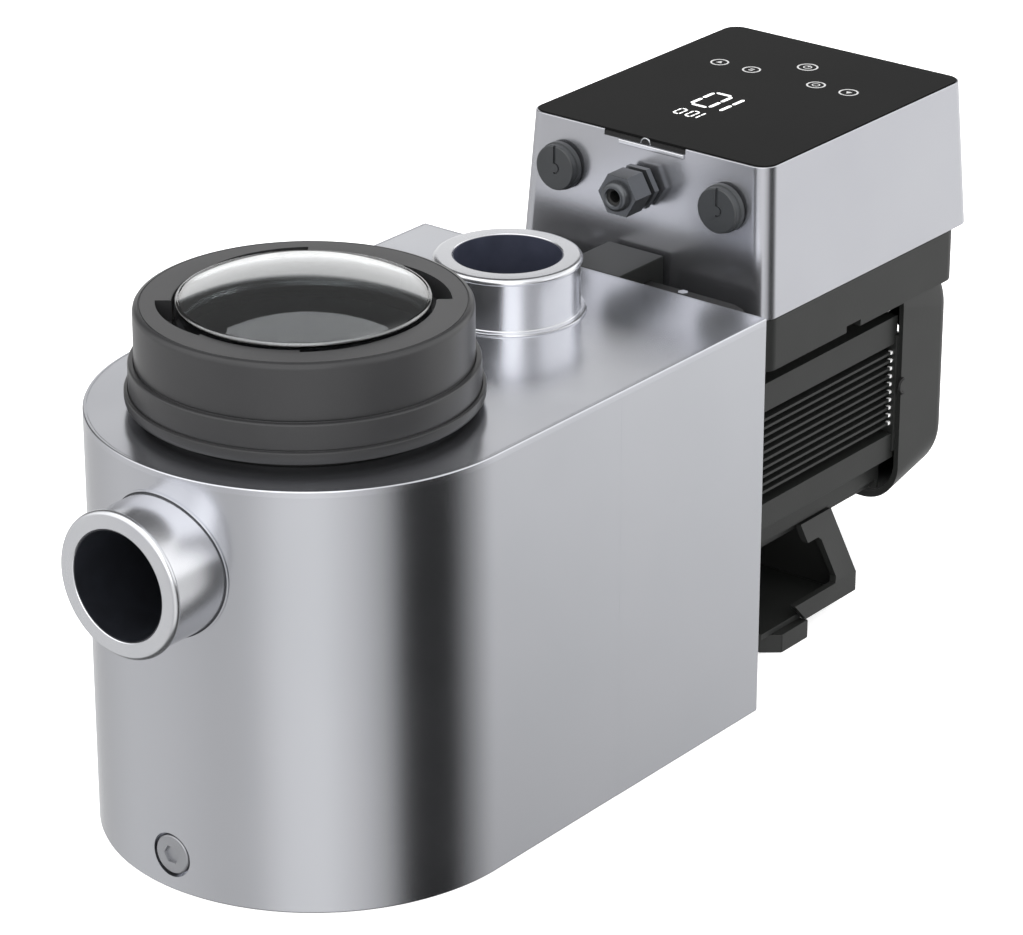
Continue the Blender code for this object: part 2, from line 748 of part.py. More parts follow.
build_casing(satin_metal, plug_metal)
build_sockets(satin_metal)
build_strainer(lid_plastic, seal_rubber, clear_plastic, basket_plastic)
build_motor(black_paint, bolt_steel, fan_plastic)
build_foot(black_paint)
build_controller(black_paint, satin_metal, panel_glass, cap_plastic, bolt_steel)
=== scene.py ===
# Swimming-pool pump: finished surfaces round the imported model, a camera and soft studio light.
# Metres, in the same frame as the CAD: +Z is up and the suction socket faces -Y.

import math

import bmesh
import bpy
from mathutils import Matrix, Vector


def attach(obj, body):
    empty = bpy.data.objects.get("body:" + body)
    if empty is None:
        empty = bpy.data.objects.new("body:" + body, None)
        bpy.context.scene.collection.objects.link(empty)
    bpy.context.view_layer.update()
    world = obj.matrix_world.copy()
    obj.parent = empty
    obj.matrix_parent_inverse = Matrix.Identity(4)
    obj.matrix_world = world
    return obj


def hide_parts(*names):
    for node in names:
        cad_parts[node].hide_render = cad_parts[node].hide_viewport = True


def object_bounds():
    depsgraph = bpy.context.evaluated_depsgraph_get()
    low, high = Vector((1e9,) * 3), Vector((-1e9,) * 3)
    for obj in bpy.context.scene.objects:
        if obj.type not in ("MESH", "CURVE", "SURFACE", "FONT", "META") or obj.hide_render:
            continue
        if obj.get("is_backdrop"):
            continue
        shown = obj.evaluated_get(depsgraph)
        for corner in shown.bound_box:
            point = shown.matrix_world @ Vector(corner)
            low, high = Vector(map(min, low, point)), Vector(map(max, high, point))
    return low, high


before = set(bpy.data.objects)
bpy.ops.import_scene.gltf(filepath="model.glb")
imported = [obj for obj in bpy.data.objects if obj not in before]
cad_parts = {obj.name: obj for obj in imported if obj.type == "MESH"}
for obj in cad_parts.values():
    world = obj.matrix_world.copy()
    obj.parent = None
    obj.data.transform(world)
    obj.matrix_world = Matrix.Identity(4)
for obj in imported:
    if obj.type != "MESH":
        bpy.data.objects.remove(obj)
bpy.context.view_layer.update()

# The camera stands to the right of the suction socket and looks down on the pump.
# It uses a long lens, as a catalogue picture does.

scene = bpy.context.scene
aim = Vector((0.0, 0.1719, 0.1478))
turn = math.radians(38.3)
tilt = math.radians(23.7)
towards_camera = Vector(
    (math.sin(turn) * math.cos(tilt), -math.cos(turn) * math.cos(tilt), math.sin(tilt))
)
camera_data = bpy.data.cameras.new("catalogue_camera")
camera_data.lens = 151.94
camera_data.sensor_width = 36
camera_data.clip_start = 0.05
camera_data.clip_end = 60
camera = bpy.data.objects.new("catalogue_camera", camera_data)
camera.location = aim + towards_camera * 2.4993
camera.rotation_euler = towards_camera.to_track_quat("Z", "Y").to_euler()
scene.collection.objects.link(camera)
scene.camera = camera
scene.view_settings.view_transform = "Standard"

# The studio is a white table in a room with pale walls, black flags and one large round screen.
# The metal mirrors the room and not the table, and soft boxes light all that is matt.


def linear(value):
    """One channel of an sRGB colour turned linear."""
    return value / 12.92 if value <= 0.04045 else ((value + 0.055) / 1.055) ** 2.4


def colour(code):
    """A hex colour, as read from a screen, in Blender's linear values."""
    return tuple(linear(int(code[place : place + 2], 16) / 255) for place in (1, 3, 5)) + (1.0,)


def add_node(tree, kind, settings=None, inputs=None):
    """One shader node with its settings, and its inputs set or linked to (node, output)."""
    node = tree.nodes.new(kind)
    for name, value in (settings or {}).items():
        setattr(node, name, value)
    for name, value in (inputs or {}).items():
        if isinstance(value, tuple) and isinstance(value[0], bpy.types.Node):
            tree.links.new(value[0].outputs[value[1]], node.inputs[name])
        else:
            node.inputs[name].default_value = value
    return node


def finish_named(name, base, metallic, roughness, **sockets):
    """A new material with its constants on the shader's own sockets."""
    material = bpy.data.materials.new(name)
    material.use_nodes = True
    tree = material.node_tree
    shader = tree.nodes["Principled BSDF"]
    shader.inputs["Base Color"].default_value = colour(base)
    shader.inputs["Metallic"].default_value = metallic
    shader.inputs["Roughness"].default_value = roughness
    for socket_name, value in sockets.items():
        shader.inputs[socket_name.replace("_", " ")].default_value = value
    return material, tree, shader


def ramp(node, stops):
    """Sets the stops of a colour ramp from (place, grey) or (place, hex colour) pairs."""
    elements = node.color_ramp.elements
    while len(elements) > 1:
        elements.remove(elements[-1])
    for index, (place, tone) in enumerate(stops):
        element = elements[0] if index == 0 else elements.new(place)
        element.position = place
        element.color = colour(tone) if isinstance(tone, str) else (tone, tone, tone, 1.0)
    return node


def bearing_stops(stops):
    """Turns (degrees, grey) pairs round the room into places along a ramp."""
    return [((degrees + 180) / 360, grey) for degrees, grey in stops]


world = bpy.data.worlds.new("studio_room")
world.use_nodes = True
scene.world = world
room = world.node_tree
direction = add_node(room, "ShaderNodeTexCoord")
parts = add_node(room, "ShaderNodeSeparateXYZ", inputs={"Vector": (direction, "Generated")})
# Bearings round the room: 0 looks towards -Y, 90 degrees towards +X and 180 towards +Y.
away = add_node(room, "ShaderNodeMath", {"operation": "MULTIPLY"}, {0: (parts, "Y"), 1: -1.0})
bearing = add_node(
    room, "ShaderNodeMath", {"operation": "ARCTAN2"}, {0: (parts, "X"), 1: (away, 0)}
)
share = add_node(
    room,
    "ShaderNodeMapRange",
    inputs={"Value": (bearing, 0), "From Min": -math.pi, "From Max": math.pi},
)
WALLS = [
    (-180, 1.00),
    (-134, 0.94),
    (-112, 0.62),
    (-100, 0.58),
    (-70, 0.72),
    (-45, 0.70),
    (-12, 0.60),
    (5, 0.62),
    (22, 0.90),
    (42, 0.96),
    (60, 0.74),
    (74, 0.50),
    (85, 0.00),
    (110, 0.00),
    (125, 0.50),
    (138, 1.04),
    (180, 1.06),
]
SKIRTING = [stop for stop in WALLS if stop[0] < 100] + [(114, 0.00)]
SKIRTING += [(126, 0.20), (138, 0.32), (165, 0.32), (180, 0.90)]
walls = ramp(
    add_node(room, "ShaderNodeValToRGB", inputs={"Fac": (share, "Result")}), bearing_stops(WALLS)
)
skirting = ramp(
    add_node(room, "ShaderNodeValToRGB", inputs={"Fac": (share, "Result")}),
    bearing_stops(SKIRTING),
)
FLAG = [(-180, 0.60), (-170, 0.10), (-96, 0.10)]
overhead = ramp(
    add_node(room, "ShaderNodeValToRGB", inputs={"Fac": (share, "Result")}),
    bearing_stops(
        FLAG
        + [(-70, 1.20), (-38, 1.50), (0, 1.20), (18, 2.00), (54, 2.10), (67, 0.60), (84, 0.60)]
        + [(98, 1.30), (140, 1.45), (165, 1.60)]
    ),
)
skylight = ramp(
    add_node(room, "ShaderNodeValToRGB", inputs={"Fac": (share, "Result")}),
    bearing_stops(FLAG + [(-72, 1.70), (50, 1.90), (100, 1.00), (165, 1.00)]),
)
climbing = add_node(
    room,
    "ShaderNodeMapRange",
    inputs={"Value": (parts, "Z"), "From Min": 0.50, "From Max": 0.68},
)
ceiling = add_node(
    room,
    "ShaderNodeMix",
    {"data_type": "RGBA"},
    {"Factor": (climbing, "Result"), 6: (overhead, "Color"), 7: (skylight, "Color")},
)
rising = add_node(
    room,
    "ShaderNodeMapRange",
    inputs={"Value": (parts, "Z"), "From Min": -0.56, "From Max": -0.34},
)
lower = add_node(
    room,
    "ShaderNodeMix",
    {"data_type": "RGBA"},
    {"Factor": (rising, "Result"), 6: (skirting, "Color"), 7: (walls, "Color")},
)
# The round screen stands behind the pump to the left, and its upper rim shows in the window.
SCREEN_BEARING = math.radians(-141)
SCREEN_RIM = 0.450
SCREEN_BEND = 2.8
SCREEN_LIGHT = 1.02
SCREEN_BLUR = 0.03
flat_direction = add_node(
    room,
    "ShaderNodeVectorMath",
    {"operation": "MULTIPLY"},
    {0: (direction, "Generated"), 1: (1.0, 1.0, 0.0)},
)
flat_unit = add_node(
    room, "ShaderNodeVectorMath", {"operation": "NORMALIZE"}, {0: (flat_direction, 0)}
)
aligned = add_node(
    room,
    "ShaderNodeVectorMath",
    {"operation": "DOT_PRODUCT"},
    {0: (flat_unit, 0), 1: (math.sin(SCREEN_BEARING), -math.cos(SCREEN_BEARING), 0.0)},
)
screen_rim = add_node(
    room,
    "ShaderNodeMath",
    {"operation": "MULTIPLY_ADD"},
    {0: (aligned, "Value"), 1: SCREEN_BEND, 2: SCREEN_RIM - SCREEN_BEND},
)
above_rim = add_node(
    room, "ShaderNodeMath", {"operation": "SUBTRACT"}, {0: (parts, "Z"), 1: (screen_rim, 0)}
)
screen = add_node(
    room,
    "ShaderNodeMapRange",
    inputs={
        "Value": (above_rim, 0),
        "From Min": -SCREEN_BLUR,
        "From Max": SCREEN_BLUR,
        "To Min": SCREEN_LIGHT,
        "To Max": 0.0,
    },
)
upper = add_node(
    room, "ShaderNodeMix", {"data_type": "RGBA", "blend_type": "LIGHTEN"}, {"Factor": 1.0}
)
room.links.new(ceiling.outputs[2], upper.inputs[6])
room.links.new(screen.outputs["Result"], upper.inputs[7])
horizon = add_node(
    room,
    "ShaderNodeMapRange",
    inputs={"Value": (parts, "Z"), "From Min": 0.02, "From Max": 0.14},
)
whole_room = add_node(
    room,
    "ShaderNodeMix",
    {"data_type": "RGBA"},
    {"Factor": (horizon, "Result"), 6: (lower, 2), 7: (upper, 2)},
)
# Straight below there is only the pump's own shade, which lines every lower edge.
underside = add_node(
    room,
    "ShaderNodeMapRange",
    inputs={"Value": (parts, "Z"), "From Min": -0.86, "From Max": -0.66, "To Min": 0.05},
)
room.links.new(underside.outputs["Result"], room.nodes["Background"].inputs["Strength"])
room.links.new(whole_room.outputs[2], room.nodes["Background"].inputs["Color"])

TABLE_HALF = 15.0
TABLE_DROP = 0.0003
table_white, table_tree, table_shader = finish_named(
    "opal_acrylic_table", "#fbfbfb", 0.0, 0.9, Emission_Strength=0.62
)
table_shader.inputs["Emission Color"].default_value = (1.0, 1.0, 1.0, 1.0)
# The lit opal sheet is faintly uneven, which only a close look shows.
table_place = add_node(table_tree, "ShaderNodeTexCoord")
table_cloud = add_node(
    table_tree,
    "ShaderNodeTexNoise",
    inputs={"Vector": (table_place, "Object"), "Scale": 3.0, "Detail": 2.0},
)
table_tone = ramp(
    add_node(table_tree, "ShaderNodeValToRGB", inputs={"Fac": (table_cloud, "Fac")}),
    [(0.3, 0.95), (0.7, 0.97)],
)
table_tree.links.new(table_tone.outputs["Color"], table_shader.inputs["Base Color"])
table_work = bmesh.new()
bmesh.ops.create_grid(table_work, x_segments=1, y_segments=1, size=TABLE_HALF)
bmesh.ops.translate(table_work, verts=table_work.verts, vec=(0, 0, -TABLE_DROP))
table_mesh = bpy.data.meshes.new("studio_table")
table_work.to_mesh(table_mesh)
table_work.free()
table_mesh.materials.append(table_white)
studio_table = bpy.data.objects.new("studio_table", table_mesh)
scene.collection.objects.link(studio_table)
studio_table.visible_glossy = False
studio_table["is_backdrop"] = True


def soft_box(name, spot, size, power):
    """A large square light aimed at the pump; it lights matt surfaces and is never mirrored."""
    data = bpy.data.lights.new(name, "AREA")
    data.shape = "RECTANGLE"
    data.size, data.size_y = size
    data.energy = power
    light = bpy.data.objects.new(name, data)
    light.location = spot
    aimed = Vector(spot) - Vector((0.0, 0.15, 0.15))
    light.rotation_euler = aimed.to_track_quat("Z", "Y").to_euler()
    light.visible_camera = False
    light.visible_glossy = False
    scene.collection.objects.link(light)


soft_box("ceiling_box", (-0.4, 0.6, 3.2), (2.6, 2.6), 34)
soft_box("front_box", (0.6, -3.2, 1.6), (1.6, 1.6), 10)
soft_box("side_box", (3.0, 1.2, 1.8), (1.6, 1.6), 20)

# Casing: a strainer pot with a round front and a pump chamber behind it, in one line.
# Both are a satin stainless skin, blasted and then clear-coated, with a fine grain in it.
# They butt in a hairline seam, and a flanged top plate is set into their rim.

CASING_RADIUS = 0.1252
CASING_BACK = 0.2467
CASING_SEAM = 0.110
PLATE_BOTTOM = 0.2445
PLATE_TOP = 0.2482
PLATE_EDGE = 0.0015
PLATE_GROOVE = 0.0003
LID_Y = -0.0072
SUCTION_Z = 0.1941
DISCHARGE_Y = 0.1685
SOCKET_BORE = 0.0315
PORT_RADIUS = 0.0318
WELL_RADIUS = 0.083
WELL_FLOOR = 0.020
PLUG_Z = 0.0212
ALONG_Y = Matrix.Rotation(math.pi / 2, 4, "X")


def grained(tree, shader, scale, strength, distance, detail=2.0):
    """Gives a finish a fine random relief, on the piece's own coordinates."""
    spot = add_node(tree, "ShaderNodeTexCoord")
    noise = add_node(
        tree,
        "ShaderNodeTexNoise",
        inputs={"Vector": (spot, "Object"), "Scale": scale, "Detail": detail},
    )
    bump = add_node(
        tree,
        "ShaderNodeBump",
        inputs={"Height": (noise, "Fac"), "Strength": strength, "Distance": distance},
    )
    tree.links.new(bump.outputs["Normal"], shader.inputs["Normal"])


def mottled(tree, shader, dark, light, scale, socket_name="Base Color"):
    """Lets the colour, or the gloss, drift slowly between two close values."""
    spot = add_node(tree, "ShaderNodeTexCoord")
    cloud = add_node(
        tree,
        "ShaderNodeTexNoise",
        inputs={"Vector": (spot, "Object"), "Scale": scale, "Detail": 3.0},
    )
    tone = ramp(
        add_node(tree, "ShaderNodeValToRGB", inputs={"Fac": (cloud, "Fac")}),
        [(0.2, dark), (0.8, light)],
    )
    tree.links.new(tone.outputs["Color"], shader.inputs[socket_name])


def surface(name, base, metallic, roughness, drift, grain=None, **sockets):
    """A finish with its drift (dark, light, scale) and its grain (scale, strength, depth)."""
    material, tree, shader = finish_named(name, base, metallic, roughness, **sockets)
    if grain:
        grained(tree, shader, *grain)
    mottled(tree, shader, *drift)
    return material


def satin(name, dark, light, metallic, roughness):
    """Blasted and clear-coated stainless: the coat scatters a part of the light."""
    material, tree, shader = finish_named(name, light, metallic, roughness)
    # Blasting leaves a grain of about 0.4 mm; it shows as a faint sparkle, drawn a little coarse.
    grained(tree, shader, 1500.0, 0.008, 0.0004)
    mottled(tree, shader, dark, light, 9.0)
    mottled(tree, shader, roughness - 0.02, roughness + 0.02, 16.0, "Roughness")
    return material


satin_metal = satin("satin_blasted_steel", "#c9cbd0", "#cecfd4", 0.985, 0.22)
plate_metal = satin("satin_lacquered_plate", "#cdcfd5", "#d3d4d9", 0.98, 0.23)


def block(low, high):
    """A box between two corners."""
    work = bmesh.new()
    bmesh.ops.create_cube(work, size=1.0)
    size = [high[axis] - low[axis] for axis in range(3)]
    middle = [(high[axis] + low[axis]) / 2 for axis in range(3)]
    bmesh.ops.scale(work, verts=work.verts, vec=size)
    bmesh.ops.translate(work, verts=work.verts, vec=middle)
    return work


def round_edges(work, width, segments, chosen=lambda edge: True):
    """Bevels the edges for which chosen(edge) is true."""
    bmesh.ops.bevel(
        work,
        geom=[edge for edge in work.edges if chosen(edge)],
        offset=width,
        offset_type="OFFSET",
        segments=segments,
        profile=0.5,
        affect="EDGES",
        material=-1,
        clamp_overlap=True,
    )
    return work


def lies_at(edge, axis, value):
    """True if both ends of the edge lie at one value along an axis."""
    return all(abs(vert.co[axis] - value) < 1e-5 for vert in edge.verts)


def runs_along(edge, axis):
    """True if the edge is parallel to an axis."""
    step = (edge.verts[1].co - edge.verts[0].co).normalized()
    return abs(step[axis]) > 0.999


def turned(profile, segments=128):
    """Spins a closed loop of (radius, height) points about Z into a ring or a disc."""
    work = bmesh.new()
    verts = [work.verts.new((radius, 0.0, height)) for radius, height in profile]
    edges = []
    for first, second in zip(verts, verts[1:] + verts[:1]):
        if max(first.co.x, second.co.x) > 1e-9:
            edges.append(work.edges.new((first, second)))
    bmesh.ops.spin(
        work,
        geom=verts + edges,
        axis=(0, 0, 1),
        cent=(0, 0, 0),
        angle=2 * math.pi,
        steps=segments,
        use_merge=True,
    )
    bmesh.ops.remove_doubles(work, verts=work.verts, dist=1e-7)
    bmesh.ops.recalc_face_normals(work, faces=work.faces)
    return work


def rod(radius, low, high, segments=96):
    """A plain round bar along Z."""
    return turned([(0.0, low), (radius, low), (radius, high), (0.0, high)], segments)


def moved(work, spot, turn_by=None):
    """Turns a mesh about the origin and then carries it to its spot."""
    if turn_by is not None:
        bmesh.ops.transform(work, matrix=turn_by, verts=work.verts)
    bmesh.ops.translate(work, verts=work.verts, vec=spot)
    return work


def together(pieces):
    """Puts several meshes into one."""
    whole = bmesh.new()
    for piece in pieces:
        mesh = bpy.data.meshes.new("gathered")
        piece.to_mesh(mesh)
        piece.free()
        whole.from_mesh(mesh)
        bpy.data.meshes.remove(mesh)
    return whole


def carved(work, cutters, operation="DIFFERENCE"):
    """Cuts other meshes out of this one with exact Booleans, applied at once."""
    helpers = []
    for index, source in enumerate([work] + cutters):
        mesh = bpy.data.meshes.new(f"carving_{index}")
        source.to_mesh(mesh)
        source.free()
        helper = bpy.data.objects.new(f"carving_{index}", mesh)
        scene.collection.objects.link(helper)
        helpers.append(helper)
    for helper in helpers[1:]:
        modifier = helpers[0].modifiers.new(helper.name, "BOOLEAN")
        modifier.operation = operation
        modifier.solver = "EXACT"
        modifier.object = helper
    evaluated = helpers[0].evaluated_get(bpy.context.evaluated_depsgraph_get())
    result = bmesh.new()
    result.from_mesh(evaluated.to_mesh())
    evaluated.to_mesh_clear()
    for helper in helpers:
        mesh = helper.data
        bpy.data.objects.remove(helper)
        bpy.data.meshes.remove(mesh)
    return result


def place(name, work, finish, slot, replaced=(), body="pump", sharp=35, soften=0.0):
    """Makes the mesh a finished piece that rides on its body and stands for its CAD nodes."""
    mesh = bpy.data.meshes.new(name)
    work.to_mesh(mesh)
    work.free()
    mesh.shade_smooth()
    mesh.set_sharp_from_angle(angle=math.radians(sharp))
    mesh.materials.append(finish)
    piece = bpy.data.objects.new(name, mesh)
    scene.collection.objects.link(piece)
    if soften:
        edges = piece.modifiers.new("softened_edges", "BEVEL")
        edges.width = soften
        edges.segments = 2
        edges.limit_method = "ANGLE"
        edges.angle_limit = math.radians(30)
        edges.use_clamp_overlap = True
    shading = piece.modifiers.new("even_shading", "WEIGHTED_NORMAL")
    shading.keep_sharp = True
    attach(piece, body)
    if replaced:
        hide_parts(*replaced)
    return piece


def casing_block(back, low, high, inset=0.0):
    """The casing's shape between two heights: a half round front and straight sides."""
    radius = CASING_RADIUS - inset
    work = block((-radius, -radius, low), (radius, back - inset, high))
    round_edges(
        work,
        radius * 0.99999,
        72,
        lambda edge: runs_along(edge, 2) and lies_at(edge, 1, -radius),
    )
    bmesh.ops.remove_doubles(work, verts=work.verts, dist=1e-5)
    return work


pot = casing_block(CASING_SEAM, 0.0, PLATE_BOTTOM)
round_edges(pot, 0.0012, 2, lambda edge: lies_at(edge, 2, 0.0))
well = moved(rod(WELL_RADIUS, WELL_FLOOR, 0.30), (0, LID_Y, 0))
inlet = moved(rod(PORT_RADIUS, 0.0, 0.10), (0, -0.060, SUCTION_Z), ALONG_Y)
plug_seat = moved(rod(0.0130, 0.0, 0.05, 48), (0, -0.1152, PLUG_Z), ALONG_Y)
place("pot_skin", carved(pot, [well, inlet, plug_seat]), satin_metal, "satin_metal", ["strainer_pot"])

chamber = block(
    (-CASING_RADIUS, CASING_SEAM + 0.00006, 0.0), (CASING_RADIUS, CASING_BACK, PLATE_BOTTOM)
)
round_edges(chamber, 0.0010, 3, lambda edge: runs_along(edge, 2) and lies_at(edge, 1, CASING_BACK))
round_edges(chamber, 0.0010, 2, lambda edge: lies_at(edge, 2, 0.0))
outlet = moved(rod(PORT_RADIUS, 0.150, 0.30), (0, DISCHARGE_Y, 0))
place("chamber_skin", carved(chamber, [outlet]), satin_metal, "satin_metal", ["pump_chamber"])

# A black plate closes the skin behind; its deep black is painted shade, which the cover's foot mirrors
# as a dark reflection.
back_shade_black = surface(
    "black_casing_back_painted_shade", "#0b0b0c", 0.0, 0.55,
    ("#09090a", "#0d0d0e", 40.0), (1200.0, 0.10, 0.0003),
)
CLOSING_BACK = CASING_BACK + 0.0003
closing = block((-0.1225, CASING_BACK - 0.0010, 0.004), (0.1225, CLOSING_BACK, 0.2465))
closing = round_edges(closing, 0.0002, 1)
place("casing_back_shade_plate", closing, back_shade_black, "lid_plastic")

plate = casing_block(CASING_BACK, PLATE_BOTTOM, PLATE_TOP)
round_edges(plate, 0.0010, 3, lambda edge: runs_along(edge, 2) and lies_at(edge, 1, CASING_BACK))
round_edges(plate, PLATE_EDGE, 4, lambda edge: lies_at(edge, 2, PLATE_TOP))
groove_at = PLATE_EDGE + 0.0005
groove = carved(
    casing_block(CASING_BACK, PLATE_TOP - 0.0006, PLATE_TOP + 0.001, groove_at),
    [casing_block(CASING_BACK, PLATE_TOP - 0.001, PLATE_TOP + 0.002, groove_at + PLATE_GROOVE)],
)
lid_hole = moved(rod(0.0883, 0.2, 0.3), (0, LID_Y, 0))
outlet_hole = moved(rod(0.0380, 0.2, 0.3), (0, DISCHARGE_Y, 0))
place(
    "top_plate_skin",
    carved(plate, [groove, lid_hole, outlet_hole]),
    plate_metal,
    "satin_metal",
    ["casing_top"],
)

# Sockets: two short turned pipes for 63 mm pool pipe, one in front and one on top.
# They are stainless, turned brighter than the casing, with a rounded lip and a weld at the foot.
# A black plastic liner carries the water through them.

# Stainless turned on a lathe and left uncoated: clear, slightly soft reflections.
bright_metal = surface(
    "bright_turned_steel", "#dadbdf", 0.95, 0.23,
    ("#d6d7dc", "#dedfe2", 30.0), (1100.0, 0.03, 0.0003),
)
# ABS liners, moulded with a soft orange peel of about 4 mm; the upper one looks bluer, and its lighter
# tone is painted light in its upward bore.
liner_plastic = surface(
    "black_liner_abs", "#202226", 0.0, 0.28,
    ("#1a1b1f", "#26282e", 60.0), (260.0, 0.12, 0.0006, 3.0),
)
upper_liner_painted_light = surface(
    "blue_black_liner_painted_light", "#383b49", 0.0, 0.35,
    ("#303340", "#414453", 60.0), (260.0, 0.12, 0.0006, 3.0),
)


def socket(inner_end, mouth, neck, lip):
    """A socket from its inner end to its mouth, with a rounded lip."""
    profile = [
        (SOCKET_BORE, inner_end),
        (SOCKET_BORE, mouth - 0.0004),
        (SOCKET_BORE + 0.0004, mouth),
        (lip - 0.0030, mouth),
        (lip - 0.0019, mouth - 0.0002),
        (lip - 0.0010, mouth - 0.0007),
        (lip - 0.0003, mouth - 0.0016),
        (lip, mouth - 0.0027),
        (lip - 0.0001, mouth - 0.0033),
        (lip - 0.0005, mouth - 0.0038),
        (neck, mouth - 0.0041),
        (neck, inner_end),
    ]
    return turned(profile, 160)


def liner(low, mouth):
    """A thin black tube in a socket's bore, flush with the start of the lip's chamfer."""
    return turned([(0.0304, low), (0.0314, low), (0.0314, mouth), (0.0309, mouth)], 128)


SUCTION_REACH = 0.0749
DISCHARGE_MOUTH = 0.2813
LINER_SETBACK = 0.0006
suction_spot = (0, -0.084, SUCTION_Z)
suction = moved(socket(0.0, SUCTION_REACH, 0.0400, 0.0416), suction_spot, ALONG_Y)
place("suction_pipe", suction, bright_metal, "satin_metal", ["suction_socket"])
suction_tube = moved(liner(0.0, SUCTION_REACH - LINER_SETBACK), suction_spot, ALONG_Y)
place("suction_liner", suction_tube, liner_plastic, "lid_plastic")
discharge = socket(PLATE_BOTTOM, DISCHARGE_MOUTH, 0.0415, 0.0428)
discharge = moved(discharge, (0, DISCHARGE_Y, 0))
place("discharge_pipe", discharge, bright_metal, "satin_metal", ["discharge_socket"])
discharge_tube = moved(liner(0.152, DISCHARGE_MOUTH - LINER_SETBACK), (0, DISCHARGE_Y, 0))
place("discharge_liner", discharge_tube, upper_liner_painted_light, "lid_plastic")
bead = turned(
    [
        (0.0410, 0.2480),
        (0.0448, 0.2480),
        (0.0450, 0.2485),
        (0.0448, 0.2493),
        (0.0441, 0.2497),
        (0.0420, 0.2498),
        (0.0410, 0.2506),
    ],
    160,
)
bead = moved(bead, (0, DISCHARGE_Y, 0))
place("discharge_bead", bead, bright_metal, "satin_metal", ["discharge_collar"])


def saddle(inner, outer, proud):
    """A ring round the suction pipe that follows the pot's round wall."""
    section = [(inner, 0.0), (outer, 0.0), (outer, 0.05), (inner, 0.05)]
    tube = moved(turned(section, 160), (0, -0.09, SUCTION_Z), ALONG_Y)
    tube = carved(tube, [rod(CASING_RADIUS - 0.0004, 0.1, 0.3, 192)])
    return carved(tube, [rod(CASING_RADIUS + proud, 0.1, 0.3, 192)], "INTERSECT")


collar = saddle(0.0409, 0.0418, 0.0008)
place("suction_bead", collar, satin_metal, "satin_metal", ["suction_collar"], soften=0.0003)
# The thin black ring at the pipe's foot is painted shade: a dark line where the pipe meets the bead.
place("suction_shade_ring", saddle(0.0400, 0.0409, 0.0004), liner_plastic, "seal_rubber")

# Drain plug: a turned stainless plug with a hexagon socket, flush in the foot of the pot.
# Its dark ring is the gap round it, down to the seal.

# Turned and tumbled stainless, duller than the pipes; the tool marks are about 1 mm.
plug_steel = surface(
    "turned_stainless", "#9c9da1", 0.80, 0.33,
    ("#959699", "#a3a4a8", 80.0), (900.0, 0.10, 0.0003),
)
plug = turned(
    [(0.0, 0.0), (0.0116, 0.0), (0.0116, 0.0080), (0.0112, 0.0089), (0.0104, 0.0094), (0.0, 0.0094)],
    64,
)
plug = moved(carved(plug, [rod(0.0055, 0.0074, 0.02, 6)]), (0, -0.1155, PLUG_Z), ALONG_Y)
place("drain_plug_head", plug, plug_steel, "plug_metal", ["drain_plug"])

# Lid ring: black ABS that screws over a threaded neck and holds the window down.
# It is moulded in three steps with a groove at each, and has four finger pockets.

# The mould is lightly spark-eroded, so the black ABS is silky; the grain is about 0.5 mm.
lid_plastic = surface(
    "moulded_black_abs", "#323233", 0.0, 0.29,
    ("#303031", "#343435", 25.0), (2200.0, 0.10, 0.0003), Specular_IOR_Level=0.34,
)

RING_PROFILE = [
    (0.0895, 0.2526),
    (0.0948, 0.2526),
    (0.0965, 0.2532),
    (0.0974, 0.2545),
    (0.0977, 0.2560),
    (0.0977, 0.2590),
    (0.0974, 0.2598),
    (0.0968, 0.2602),
    (0.0958, 0.2602),
    (0.0953, 0.2594),
    (0.0950, 0.2602),
    (0.0954, 0.2612),
    (0.0953, 0.2740),
    (0.0949, 0.2748),
    (0.0942, 0.2752),
    (0.0924, 0.2752),
    (0.0918, 0.2744),
    (0.0914, 0.2752),
    (0.0919, 0.2764),
    (0.0918, 0.3038),
    (0.0915, 0.3054),
    (0.0907, 0.3066),
    (0.0896, 0.3072),
    (0.0886, 0.3074),
    (0.0883, 0.3069),
    (0.0880, 0.3069),
    (0.0877, 0.3074),
    (0.0717, 0.3074),
    (0.0709, 0.3071),
    (0.0706, 0.3063),
    (0.0706, 0.2943),
    (0.0895, 0.2943),
]


def half_space(work, spot, outward):
    """Keeps the part of a closed mesh behind a plane, and closes the cut."""
    bmesh.ops.bisect_plane(
        work,
        geom=work.verts[:] + work.edges[:] + work.faces[:],
        plane_co=spot,
        plane_no=outward,
        clear_outer=True,
    )
    bmesh.ops.holes_fill(work, edges=[edge for edge in work.edges if edge.is_boundary], sides=0)
    bmesh.ops.recalc_face_normals(work, faces=work.faces)
    return work


def pocket(first, last, reach):
    """One finger pocket: an arc of a slot round the window, with a slanting far end."""
    # The outer wall's own centre is set off the window's axis, so that the pocket tapers.
    aside = first - math.radians(10)
    offset = reach - 0.066
    wedge = moved(
        rod(0.066, 0.2955, 0.32, 180), (offset * math.cos(aside), offset * math.sin(aside), 0)
    )
    half_space(wedge, (0, 0, 0), (math.sin(first), -math.cos(first), 0))
    far = Vector((0.0705 * math.cos(last), 0.0705 * math.sin(last), 0))
    slant = last + math.radians(35)
    half_space(wedge, far, (-math.sin(slant), math.cos(slant), 0))
    return moved(wedge, (0, LID_Y, 0))


pockets = [
    pocket(math.radians(39 + 90 * index), math.radians(81 + 90 * index), reach)
    for index, reach in enumerate((0.0798, 0.0798, 0.0798, 0.0742))
]
ring = carved(moved(turned(RING_PROFILE, 192), (0, LID_Y, 0)), pockets)
place("screw_ring", ring, lid_plastic, "lid_plastic", ["lock_ring"], body="ring")
